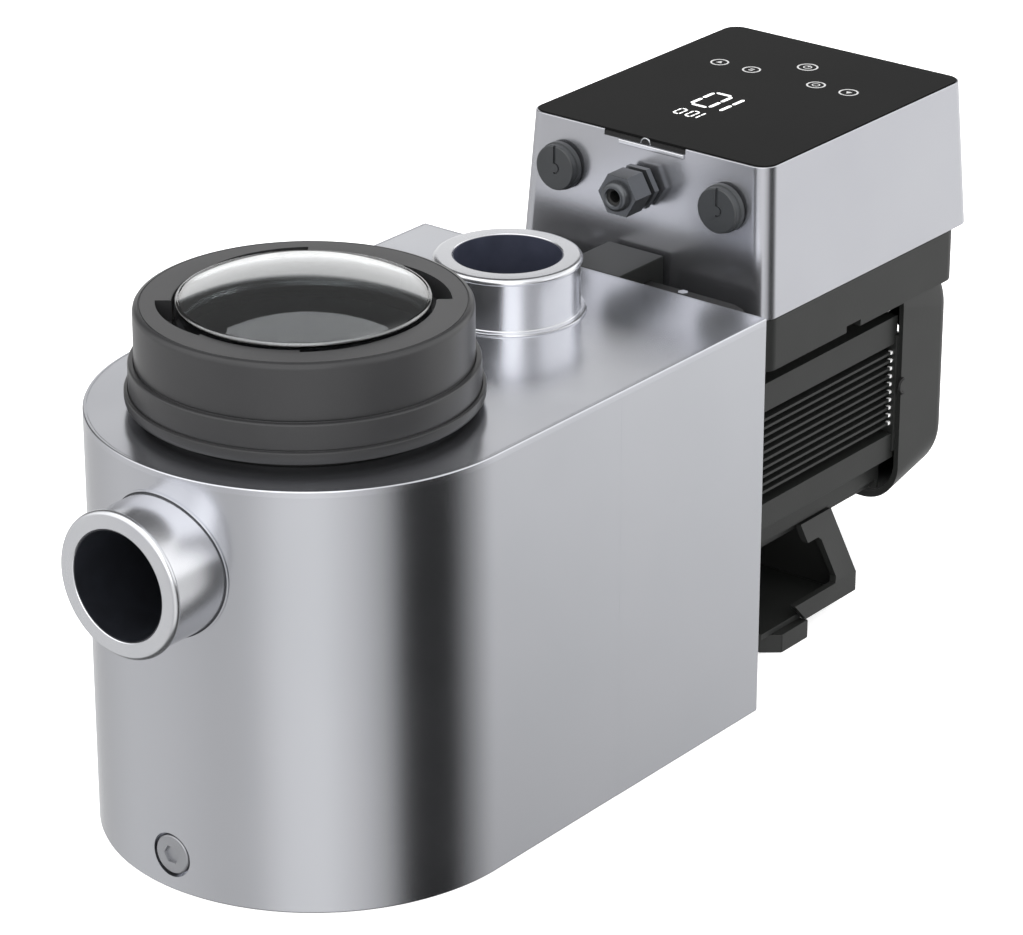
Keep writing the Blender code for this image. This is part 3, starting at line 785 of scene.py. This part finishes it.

# Neck and seal: a short threaded plastic neck in the casing, and the flat rubber seal on it.
# They stay on the pump when the lid comes off.

# Matt black polypropylene, a deeper black than the ring: painted shade for the gap under the ring.
neck_shade_black = surface(
    "black_neck_painted_shade", "#0d0d0e", 0.0, 0.5, ("#0b0b0c", "#101011", 40.0), (1200.0, 0.10, 0.0003)
)
thread = []
for pitch in range(4):
    low = 0.2560 + 0.0070 * pitch
    thread += [(0.0868, low), (0.0880, low + 0.0008), (0.0880, low + 0.0022), (0.0868, low + 0.0030)]
neck = turned(
    [(0.0775, 0.2445), (0.0868, 0.2445)]
    + thread
    + [(0.0868, 0.2872), (0.0862, 0.2880), (0.0820, 0.2880), (0.0820, 0.2790), (0.0775, 0.2790)],
    128,
)
place("threaded_neck", moved(neck, (0, LID_Y, 0)), neck_shade_black, "lid_plastic", ["lid_seat"])

# Pressed EPDM rubber: matt, with a faint bloom.
seal_rubber = surface(
    "black_seal_epdm", "#141414", 0.0, 0.62,
    ("#121212", "#181818", 50.0), (1200.0, 0.10, 0.0003),
)
seal = turned(
    [
        (0.0825, 0.2889),
        (0.0830, 0.2883),
        (0.0865, 0.2883),
        (0.0870, 0.2889),
        (0.0870, 0.2902),
        (0.0865, 0.2907),
        (0.0830, 0.2907),
        (0.0825, 0.2902),
    ],
    128,
)
place("lid_gasket", moved(seal, (0, LID_Y, 0)), seal_rubber, "seal_rubber", ["lid_seal"])

# Window: a clear moulded dome with a thick rolled edge, held down by the ring.
# It is hard-coated polycarbonate, so it mirrors the room and shows the basket dimly.

clear_plastic, clear_tree, clear_shader = finish_named(
    "hard_coated_polycarbonate",
    "#e6eaec",
    0.0,
    0.02,
    IOR=1.50,
    Transmission_Weight=1.0,
    Coat_Weight=1.0,
    Coat_Roughness=0.02,
    Coat_IOR=2.0,
)
# A moulded window is never quite flat: its skin waves over a few centimetres.
grained(clear_tree, clear_shader, 22.0, 0.04, 0.002, 1.0)
DOME_RADIUS = 0.069
DOME_EDGE = 0.0668
DOME_RIM = 0.3098
DOME_RISE = 0.0147
DOME_BEAD = 0.0019
BEAD_Z = 0.3082
DOME_WALL = 0.004
outer_sphere = (DOME_EDGE**2 + DOME_RISE**2) / (2 * DOME_RISE)
sphere_centre = DOME_RIM + DOME_RISE - outer_sphere
inner_radius = DOME_RADIUS - DOME_WALL
dome_profile = [(inner_radius, 0.2910), (0.0870, 0.2910), (0.0870, 0.2940), (DOME_RADIUS, 0.2940)]
for step in range(9):
    lean = math.radians(12 * step - 12)
    out, up = DOME_BEAD * math.cos(lean), DOME_BEAD * math.sin(lean)
    dome_profile.append((DOME_RADIUS - DOME_BEAD + out, BEAD_Z + up))
dome_profile.append((DOME_EDGE + 0.0003, 0.3096))
rim_angle = math.asin(DOME_EDGE / outer_sphere)
for step in range(25):
    lean = rim_angle * (1 - step / 24)
    height = sphere_centre + outer_sphere * math.cos(lean)
    dome_profile.append((outer_sphere * math.sin(lean), height))
inner_sphere = outer_sphere - DOME_WALL
inner_angle = math.asin(inner_radius / inner_sphere)
for step in range(25):
    lean = inner_angle * step / 24
    height = sphere_centre + inner_sphere * math.cos(lean)
    dome_profile.append((inner_sphere * math.sin(lean), height))
dome = moved(turned(dome_profile, 160), (0, LID_Y, 0))
place("clear_window", dome, clear_plastic, "clear_plastic", ["lid_dome"], body="lid", sharp=50)

# Basket: a moulded grey cup that hangs by its rim in the neck and catches leaves.
# Its ribs show dimly through the window.

# Moulded dark grey polypropylene, dulled by water; its texture is about 1.5 mm.
basket_plastic = surface(
    "moulded_grey_pp", "#292929", 0.0, 0.6, ("#272727", "#2b2b2b", 40.0), (700.0, 0.10, 0.0004)
)
basket = turned(
    [
        (0.0, 0.0450),
        (0.0670, 0.0450),
        (0.0735, 0.2793),
        (0.0815, 0.2793),
        (0.0815, 0.2818),
        (0.0712, 0.2818),
        (0.0645, 0.0475),
        (0.0, 0.0475),
    ],
    96,
)
place("basket_cup", moved(basket, (0, LID_Y, 0)), basket_plastic, "basket_plastic", ["strainer_basket"])

# Controller case: a pressed metal cover over a black cast base.
# The cover narrows to the top, where a rolled lip in its front edge frees the panel's catch.

BASE_BOTTOM = 0.1890
COVER_FOOT = (0.0920, 0.2930, 0.5125)
COVER_HEAD = (0.0867, 0.2983, 0.5073)
COVER_BOTTOM = 0.2220
COVER_TOP = 0.3138
PANEL_TOP = 0.3144
NOTCH_FLOOR = 0.3104

# Powder coat on cast and pressed metal; it dries in a fine orange peel of about 1 mm.
black_paint = surface(
    "matt_powder_coat", "#202120", 0.0, 0.42,
    ("#1e1f1e", "#232423", 30.0), (900.0, 0.12, 0.0004), Specular_IOR_Level=0.42,
)


def panel_block(grow, low, high):
    """The touch panel's rounded outline between two heights, grown by a margin."""
    work = block((-0.0857 - grow, 0.2998 - grow, low), (0.0857 + grow, 0.5061 + grow, high))
    return round_edges(work, 0.0098 + grow, 12, lambda edge: runs_along(edge, 2))


cover_metal = satin("satin_pressed_steel", "#c2c3c9", "#c7c8cd", 0.96, 0.25)
cover = block(
    (-COVER_FOOT[0], COVER_FOOT[1], COVER_BOTTOM), (COVER_FOOT[0], COVER_FOOT[2], COVER_TOP)
)
for vert in cover.verts:
    if vert.co.z > COVER_TOP - 1e-6:
        vert.co.x = math.copysign(COVER_HEAD[0], vert.co.x)
        vert.co.y = COVER_HEAD[1] if vert.co.y < 0.4 else COVER_HEAD[2]
round_edges(
    cover,
    0.0108,
    14,
    lambda edge: not lies_at(edge, 2, COVER_TOP) and not lies_at(edge, 2, COVER_BOTTOM),
)
round_edges(cover, 0.0005, 3, lambda edge: lies_at(edge, 2, COVER_TOP))
round_edges(cover, 0.0005, 2, lambda edge: lies_at(edge, 2, COVER_BOTTOM))
notch = block((-0.0300, 0.28, NOTCH_FLOOR), (0.0290, 0.2999, 0.33))
cover = carved(cover, [panel_block(0.0003, 0.3114, 0.33), notch])
place("pressed_cover", cover, cover_metal, "satin_metal", ["controller_cover"])
lip = block((-0.0190, 0.2968, 0.3076), (0.0284, 0.2981, NOTCH_FLOOR))
round_edges(lip, 0.0006, 3)
place("rolled_lip", lip, bright_metal, "satin_metal")

base = block((-0.0918, 0.2932, BASE_BOTTOM), (0.0918, 0.4995, 0.2217))
round_edges(base, 0.0120, 12, lambda edge: runs_along(edge, 2))
round_edges(base, 0.0008, 2, lambda edge: lies_at(edge, 2, BASE_BOTTOM))
base = carved(base, [block((-0.12, 0.3785, 0.17), (0.12, 0.3935, BASE_BOTTOM + 0.0045))])
place("cast_base", base, black_paint, "black_paint", ["controller_base"])

# Touch panel: a sheet of glass with a black back, let into the top of the cover.
# A small wire loop in the notch lifts it. Its figures read from the motor's side.

# Etched glass printed black on its back: almost no mirror image, an even dark grey.
panel_glass = surface(
    "black_backed_glass", "#161616", 0.0, 0.40,
    ("#151515", "#181818", 12.0), Specular_IOR_Level=0.02,
)
pane = panel_block(0.0, 0.3117, PANEL_TOP)
round_edges(pane, 0.0004, 2, lambda edge: lies_at(edge, 2, PANEL_TOP))
place("touch_glass", pane, panel_glass, "panel_glass", ["touch_panel"])
# Under the pane's front edge a black rubber strip fills the notch: painted shade for the dark recess
# below the glass.
notch_shade_strip = block((-0.0299, 0.2983, NOTCH_FLOOR), (0.0289, 0.2997, 0.3130))
place("notch_painted_shade", notch_shade_strip, seal_rubber, "seal_rubber")

# Zinc-plated steel: bright, with a faint crystal pattern.
bolt_steel = surface(
    "zinc_plated_steel", "#c4c6ca", 1.0, 0.25,
    ("#bcbec2", "#cccdd0", 120.0), (1400.0, 0.05, 0.0003),
)


def half_ring(radius, wire, outward):
    """Half a ring of round wire about Z, cut off on one side of a plane."""
    section = []
    for step in range(12):
        angle = step * math.pi / 6
        section.append((radius + wire * math.cos(angle), wire * math.sin(angle)))
    return half_space(turned(section, 48), (0, 0, 0), outward)


loop = half_ring(0.0034, 0.0005, (0, -1, 0))
loop = moved(loop, (0, 0.2987, NOTCH_FLOOR + 0.0003), ALONG_Y)
place("catch_loop", loop, bolt_steel, "bolt_steel", ["panel_catch"])


def bar(start, end, width):
    """One straight bar of a figure, a little thicker than ink."""
    run = Vector(end) - Vector(start)
    work = block((-run.length / 2, -width / 2, 0.0), (run.length / 2, width / 2, 0.00006))
    round_edges(work, width * 0.45, 1, lambda edge: runs_along(edge, 2))
    middle = ((start[0] + end[0]) / 2, (start[1] + end[1]) / 2, PANEL_TOP)
    return moved(work, middle, Matrix.Rotation(math.atan2(run.y, run.x), 4, "Z"))


def zero(left, right, near, far, width):
    """A nought made of six bars."""
    middle = (near + far) / 2
    gap = width * 0.45
    bars = [bar((left + gap, y), (right - gap, y), width) for y in (near, far)]
    for x in (left, right):
        bars.append(bar((x, near + gap), (x, middle - gap / 2), width))
        bars.append(bar((x, middle + gap / 2), (x, far - gap), width))
    return bars


def one(x, near, far, width):
    """A one made of two bars."""
    middle = (near + far) / 2
    gap = width * 0.3
    return [bar((x, near), (x, middle - gap), width), bar((x, middle + gap), (x, far), width)]


# Light-emitting figures that shine through the glass: plain white, each bar evenly lit.
lit_white, lit_tree, lit_shader = finish_named(
    "lit_white_display", "#f4f4f4", 0.0, 0.4, Emission_Strength=0.7
)
lit_shader.inputs["Emission Color"].default_value = (1.0, 1.0, 1.0, 1.0)
mottled(lit_tree, lit_shader, "#eeeeee", "#fafafa", 300.0)
figures = zero(-0.0166, -0.0034, 0.3652, 0.3908, 0.0024) + one(0.0053, 0.3650, 0.3902, 0.0024)
figures += zero(-0.0152, -0.0106, 0.3455, 0.3549, 0.0011)
figures += zero(-0.0066, -0.0022, 0.3455, 0.3555, 0.0011)
figures += one(0.0015, 0.3459, 0.3562, 0.0011)
place("display_figures", together(figures), lit_white, "panel_glass")

# Ink printed on the glass, a little uneven at the edge of what the eye sees.
grey_ink = surface("light_grey_ink", "#c8c8c8", 0.0, 0.5, ("#bebebe", "#d2d2d2", 400.0))


def ink_ring(x, y, radius, width=0.0011):
    """A thin printed ring."""
    inner = radius - width
    section = [(inner, 0.0), (radius, 0.0), (radius, 0.00005), (inner, 0.00005)]
    return moved(turned(section, 64), (x, y, PANEL_TOP))


keys = []
for x, y, radius in (
    (-0.0483, 0.4394, 0.0058),
    (-0.0246, 0.4397, 0.0058),
    (-0.0004, 0.4649, 0.0066),
    (0.0229, 0.4401, 0.0060),
    (0.0464, 0.4405, 0.0061),
):
    keys.append(ink_ring(x, y, radius))
# The keys carry plain signs: down, a square, a bar over a ring, a ring and up.
for x, y, quarter in ((-0.0483, 0.4394, 1), (0.0464, 0.4405, -1)):
    arrow = rod(0.0024, 0.0, 0.00005, 3)
    keys.append(moved(arrow, (x, y, PANEL_TOP), Matrix.Rotation(quarter * math.pi / 2, 4, "Z")))
for low, high in ((0.4382, 0.4388), (0.4406, 0.4412)):
    keys.append(bar((-0.0262, low), (-0.0230, low), 0.0006))
    keys.append(bar((-0.0262, high), (-0.0230, high), 0.0006))
keys.append(ink_ring(0.0229, 0.4401, 0.0026, 0.0007))
keys.append(ink_ring(-0.0004, 0.4649, 0.0028, 0.0007))
keys.append(bar((-0.0004, 0.4650), (-0.0004, 0.4682), 0.0009))
place("key_marks", together(keys), grey_ink, "panel_glass")

# Blanking caps and cable gland: moulded black nylon, screwed into the front of the cover.
# Each cap has a coin slot and a small knock-out; the gland's nut squeezes a seal on the cable.

CAP_X = 0.0592
CAP_Z = 0.2857
GLAND_Z = 0.2865
FITTING_SEAT = 0.2952

# Glass-filled nylon from a matt mould; the fibres give a fine grain of about 0.8 mm.
cap_plastic = surface(
    "matt_black_nylon", "#343638", 0.0, 0.38,
    ("#313335", "#37393b", 60.0), (1300.0, 0.10, 0.0003),
)
for side, name in ((-1, "left"), (1, "right")):
    cap = turned(
        [
            (0.0, 0.0),
            (0.0147, 0.0),
            (0.0147, 0.0028),
            (0.0145, 0.0031),
            (0.0139, 0.0033),
            (0.0139, 0.0063),
            (0.0137, 0.0070),
            (0.0131, 0.0075),
            (0.0, 0.0075),
        ],
        96,
    )
    # Drawn with its face up: X stays, Y becomes height once the cap is stood on the cover.
    coin_slot = block((-0.0009, 0.0030, 0.0064), (0.0009, 0.0150, 0.01))
    knock_out = turned([(0.0026, 0.0066), (0.0036, 0.0066), (0.0036, 0.01), (0.0026, 0.01)], 48)
    half_space(knock_out, (-0.0006, 0, 0), (-1, 0, 0))
    cap = carved(cap, [coin_slot, knock_out])
    cap = moved(cap, (side * CAP_X, FITTING_SEAT, CAP_Z), ALONG_Y)
    place(f"{name}_cap", cap, cap_plastic, "cap_plastic", [f"blanking_cap_{name}"])


def hexagon(radius, low, high, chamfer):
    """A six-sided block with its end edges broken."""
    work = rod(radius, low, high, 6)
    bmesh.ops.dissolve_limit(
        work, angle_limit=math.radians(1), verts=work.verts, edges=work.edges
    )
    return round_edges(work, chamfer, 2, lambda edge: lies_at(edge, 2, low) or lies_at(edge, 2, high))


# The gland is smoother nylon, and its flats catch the light almost as metal does.
gland_finish = surface(
    "satin_black_nylon", "#585a5d", 0.75, 0.28,
    ("#545659", "#5c5e61", 60.0), (1300.0, 0.08, 0.0003),
)
gland_spot = (0, FITTING_SEAT, GLAND_Z)
gland_base = together(
    [hexagon(0.0139, 0.0016, 0.0056, 0.0001), hexagon(0.0139, 0.0059, 0.0087, 0.0001)]
)
stub = rod(0.0120, 0.0, 0.0086, 64)
gland_base = carved(together([gland_base, stub]), [rod(0.0055, -0.01, 0.05, 48)])
gland_base = moved(gland_base, gland_spot, ALONG_Y)
place("gland_base", gland_base, gland_finish, "cap_plastic", ["gland_body"])
gland_front = turned(
    [
        (0.0050, 0.0095),
        (0.0092, 0.0095),
        (0.0092, 0.0258),
        (0.0088, 0.0272),
        (0.0079, 0.0283),
        (0.0066, 0.0288),
        (0.0056, 0.0286),
        (0.0050, 0.0278),
    ],
    96,
)
nut = carved(hexagon(0.0138, 0.0090, 0.0243, 0.0003), [rod(0.0091, 0.0, 0.05, 96)])
nut = moved(together([nut, gland_front]), gland_spot, ALONG_Y)
place("gland_cap_nut", nut, gland_finish, "cap_plastic", ["gland_nut"])
insert = turned([(0.0036, 0.010), (0.0051, 0.010), (0.0051, 0.0270), (0.0036, 0.0262)], 64)
place("gland_seal", moved(insert, gland_spot, ALONG_Y), seal_rubber, "seal_rubber")

# Motor: a cast aluminium frame with cooling fins down its sides, painted black.
# The ends of the fins by the cowl are near-white: a painted highlight for the specks of light there.

MOTOR_FRONT = 0.300
MOTOR_BACK = 0.4530
FIN_BACK = 0.4480
FIN_COUNT = 10
FIN_LOWEST = 0.1038
FIN_PITCH = 0.00522
FIN_HALF = 0.0010
CORE_BACK = 0.4512
CORE_BOTTOM = 0.0565


def side_block(side, inner, outer, y_low, y_high, z_low, z_high):
    """A block on one side of the motor, given by its distances from the shaft's plane."""
    near, far = sorted((side * inner, side * outer))
    return block((near, y_low, z_low), (far, y_high, z_high))


core = block((-0.066, MOTOR_FRONT, CORE_BOTTOM), (0.066, CORE_BACK, 0.1887))
round_edges(core, 0.002, 2)
# The end flange and its plate shut off the view past the fins into the cowl.
end_flange = block((-0.0700, 0.4494, CORE_BOTTOM), (0.0700, 0.4528, 0.1893))
end_plate = block((-0.0815, 0.4496, 0.0850), (0.0815, 0.4526, 0.1625))
motor_parts = [core, round_edges(end_flange, 0.0006, 2), round_edges(end_plate, 0.0006, 2)]
fin_ends = []
for side in (-1, 1):
    for low, high in ((0.0800, 0.0970), (0.1566, 0.1750)):
        band = side_block(side, 0.060, 0.080, MOTOR_FRONT, MOTOR_BACK, low, high)
        motor_parts.append(round_edges(band, 0.0006, 2))
    sill = side_block(side, 0.040, 0.070, MOTOR_FRONT, CORE_BACK, 0.0625, 0.0800)
    motor_parts.append(round_edges(sill, 0.0010, 2))
    for index in range(FIN_COUNT):
        middle = FIN_LOWEST + FIN_PITCH * index
        low, high = middle - FIN_HALF, middle + FIN_HALF
        fin = side_block(side, 0.060, 0.079, MOTOR_FRONT, FIN_BACK, low, high)
        motor_parts.append(round_edges(fin, 0.0005, 2))
        low, high = low - 0.0001, high + 0.0001
        end = side_block(side, 0.0765, 0.0792, FIN_BACK - 0.0006, 0.4502, low, high)
        fin_ends.append(round_edges(end, 0.0006, 2))
place("finned_frame", together(motor_parts), black_paint, "black_paint", ["motor_frame"])
# Near-white and matt: a painted highlight, standing for the specks of light between the fins and the
# cowl.
fin_end_painted_highlight = surface(
    "fin_end_painted_highlight", "#f0f0f0", 0.1, 0.5, ("#dcdcdc", "#fafafa", 200.0), (900.0, 0.2, 0.0003)
)
place("fin_ends_painted_highlight", together(fin_ends), fin_end_painted_highlight, "bolt_steel")

# Fan cowl: deep-drawn steel, painted black, with round edges and a slotted rear.
# It is cut flat under the controller and clipped to the rear end shield.

COWL_FRONT = 0.452
COWL_BACK = 0.508
COWL_HALF = 0.0845
COWL_BOTTOM = 0.048
COWL_EDGE = 0.012
SHAFT_Z = 0.127
GRILLE_Z = 0.117
GRILLE_RADIUS = 0.054
SLOT_PITCH = 0.012
SLOT_HALF = 0.003


def cowl_solid(wall, front):
    """The cowl's outside, or its inside when a wall is taken off, as a closed block."""
    work = bmesh.new()
    edges = []
    round_off = COWL_EDGE - wall
    stations = [(front, wall, 0.026 - wall)]
    for step in range(11):
        angle = math.pi / 2 * (1 - step / 10)
        shrink = COWL_EDGE - round_off * math.sin(angle)
        y = COWL_BACK - COWL_EDGE + round_off * math.cos(angle)
        stations.append((y, 0.0012 + shrink, 0.038 - shrink))
    for y, inset, corner in stations:
        half = COWL_HALF - inset
        top = 2 * SHAFT_Z - COWL_BOTTOM - inset
        bottom = COWL_BOTTOM + inset
        loop_verts = []
        for x, z, start in (
            (half - corner, bottom + corner, -90),
            (half - corner, top - corner, 0),
            (corner - half, top - corner, 90),
            (corner - half, bottom + corner, 180),
        ):
            for part in range(17):
                angle = math.radians(start + 90 * part / 16)
                spot = (x + corner * math.cos(angle), y, z + corner * math.sin(angle))
                loop_verts.append(work.verts.new(spot))
        ring_edges = [
            work.edges.new((first, second))
            for first, second in zip(loop_verts, loop_verts[1:] + loop_verts[:1])
        ]
        edges.append(ring_edges)
    for first, second in zip(edges, edges[1:]):
        bmesh.ops.bridge_loops(work, edges=first + second)
    bmesh.ops.holes_fill(work, edges=[edge for edge in work.edges if edge.is_boundary], sides=0)
    bmesh.ops.recalc_face_normals(work, faces=work.faces)
    return half_space(work, (0, 0, BASE_BOTTOM - 0.0003 - wall), (0, 0, 1))


slots = []
for index in range(9):
    middle = -GRILLE_RADIUS + SLOT_PITCH * (index + 0.5)
    half = math.sqrt(GRILLE_RADIUS**2 - middle**2)
    slot_block = block(
        (-half, COWL_BACK - 0.01, GRILLE_Z + middle - SLOT_HALF),
        (half, COWL_BACK + 0.01, GRILLE_Z + middle + SLOT_HALF),
    )
    slots.append(round_edges(slot_block, 0.0029, 4, lambda edge: runs_along(edge, 1)))
cowl = carved(cowl_solid(0.0, COWL_FRONT), [cowl_solid(0.003, COWL_FRONT - 0.01)] + slots)
place("drawn_cowl", cowl, black_paint, "black_paint", ["fan_cowl"], sharp=40)
# Spring steel, blackened in oil: matt and nearly black.
blackened_steel = surface(
    "blackened_steel", "#070707", 0.0, 0.5, ("#050505", "#0a0a0a", 200.0), (900.0, 0.2, 0.0003)
)
ALONG_X = Matrix.Rotation(math.pi / 2, 4, "Y")
clips = [
    moved(half_ring(0.0046, 0.0011, (0, 1, 0)), (side * 0.0850, 0.4535, 0.1290), ALONG_X)
    for side in (-1, 1)
]
place("cowl_clips", together(clips), blackened_steel, "bolt_steel")

# Foot: a cast bracket under the motor, painted black, with open sides and two pads.
# The pads stand on the floor, level with the casing's underside.

FOOT_BACK = 0.3985
FOOT_HALF = 0.0915
PAD_FRONT = 0.310


def extruded(outline, axis, low, high):
    """Runs an outline along an axis; its two coordinates are the other two axes, in order."""
    work = bmesh.new()
    verts = []
    for first, second in outline:
        spot = [first, second]
        spot.insert(axis, low)
        verts.append(work.verts.new(spot))
    face = work.faces.new(verts)
    grown = bmesh.ops.extrude_face_region(work, geom=[face])
    step = [0.0, 0.0, 0.0]
    step[axis] = high - low
    raised = [item for item in grown["geom"] if isinstance(item, bmesh.types.BMVert)]
    bmesh.ops.translate(work, verts=raised, vec=step)
    bmesh.ops.recalc_face_normals(work, faces=work.faces)
    return work


for side, name in ((-1, "left"), (1, "right")):
    section = [
        (side * FOOT_HALF, 0.0123),
        (side * FOOT_HALF, 0.0250),
        (side * 0.0715, 0.0622),
        (side * 0.0670, 0.0614),
        (side * 0.0875, 0.0240),
        (side * 0.0875, 0.0123),
    ]
    across = sorted((side * 0.05, side * 0.11))
    nose = [(0.300, 0.025), (0.300, 0.0), (0.345, 0.0), (0.345, 0.0123), (0.333, 0.025)]
    opening = [
        (0.300, 0.0249),
        (0.376, 0.0249),
        (0.379, 0.0280),
        (0.379, 0.0495),
        (0.377, 0.0515),
        (0.366, 0.0515),
        (0.366, 0.080),
        (0.300, 0.080),
    ]
    wall = carved(
        extruded(section, 1, PAD_FRONT, FOOT_BACK),
        [extruded(nose, 0, *across), extruded(opening, 0, *across)],
    )
    place(f"foot_wall_{name}", wall, black_paint, "black_paint", [f"foot_side_{name}"], soften=0.0007)
    pad_outline = [
        (side * 0.050, PAD_FRONT),
        (side * 0.082, PAD_FRONT),
        (side * 0.0925, PAD_FRONT + 0.0085),
        (side * 0.0925, 0.346),
        (side * 0.050, 0.346),
    ]
    pad = round_edges(extruded(pad_outline, 2, 0.0, 0.012), 0.0006, 2)
    place(f"pad_{name}", pad, black_paint, "black_paint", [f"foot_pad_{name}"])

# Cable duct, adapter and small fittings: castings and turned parts between the larger ones.
# The duct is drawn anew; the others keep their CAD shape and only take their finish here.

# Near-black matt paint, darker than the powder coat: painted shade for the deep shadow round the
# adapter.
adapter_shade_black = surface(
    "black_primer_painted_shade", "#111111", 0.0, 0.6, ("#0e0e0e", "#141414", 30.0), (700.0, 0.15, 0.0004)
)
duct = [
    (CLOSING_BACK, 0.2363),
    (0.2783, 0.2363),
    (0.2783, 0.205),
    (0.2905, 0.205),
    (0.2905, 0.248),
    (CLOSING_BACK, 0.248),
]
duct_work = round_edges(extruded(duct, 0, -0.020, 0.020), 0.0006, 2)
place("cable_cover", duct_work, black_paint, "black_paint", ["cable_duct"])
CARRIED_OVER = {
    "motor_adapter": adapter_shade_black,
    "adapter_bolt_left": bolt_steel,
    "adapter_bolt_right": bolt_steel,
    "front_end_shield": adapter_shade_black,
    "rear_end_shield": black_paint,
    "motor_shaft": bolt_steel,
    "cooling_fan": cap_plastic,
    "foot_floor": black_paint,
    "foot_web": black_paint,
}
for node_name, finish in CARRIED_OVER.items():
    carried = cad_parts[node_name].data
    carried.materials.clear()
    carried.materials.append(finish)

low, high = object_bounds()
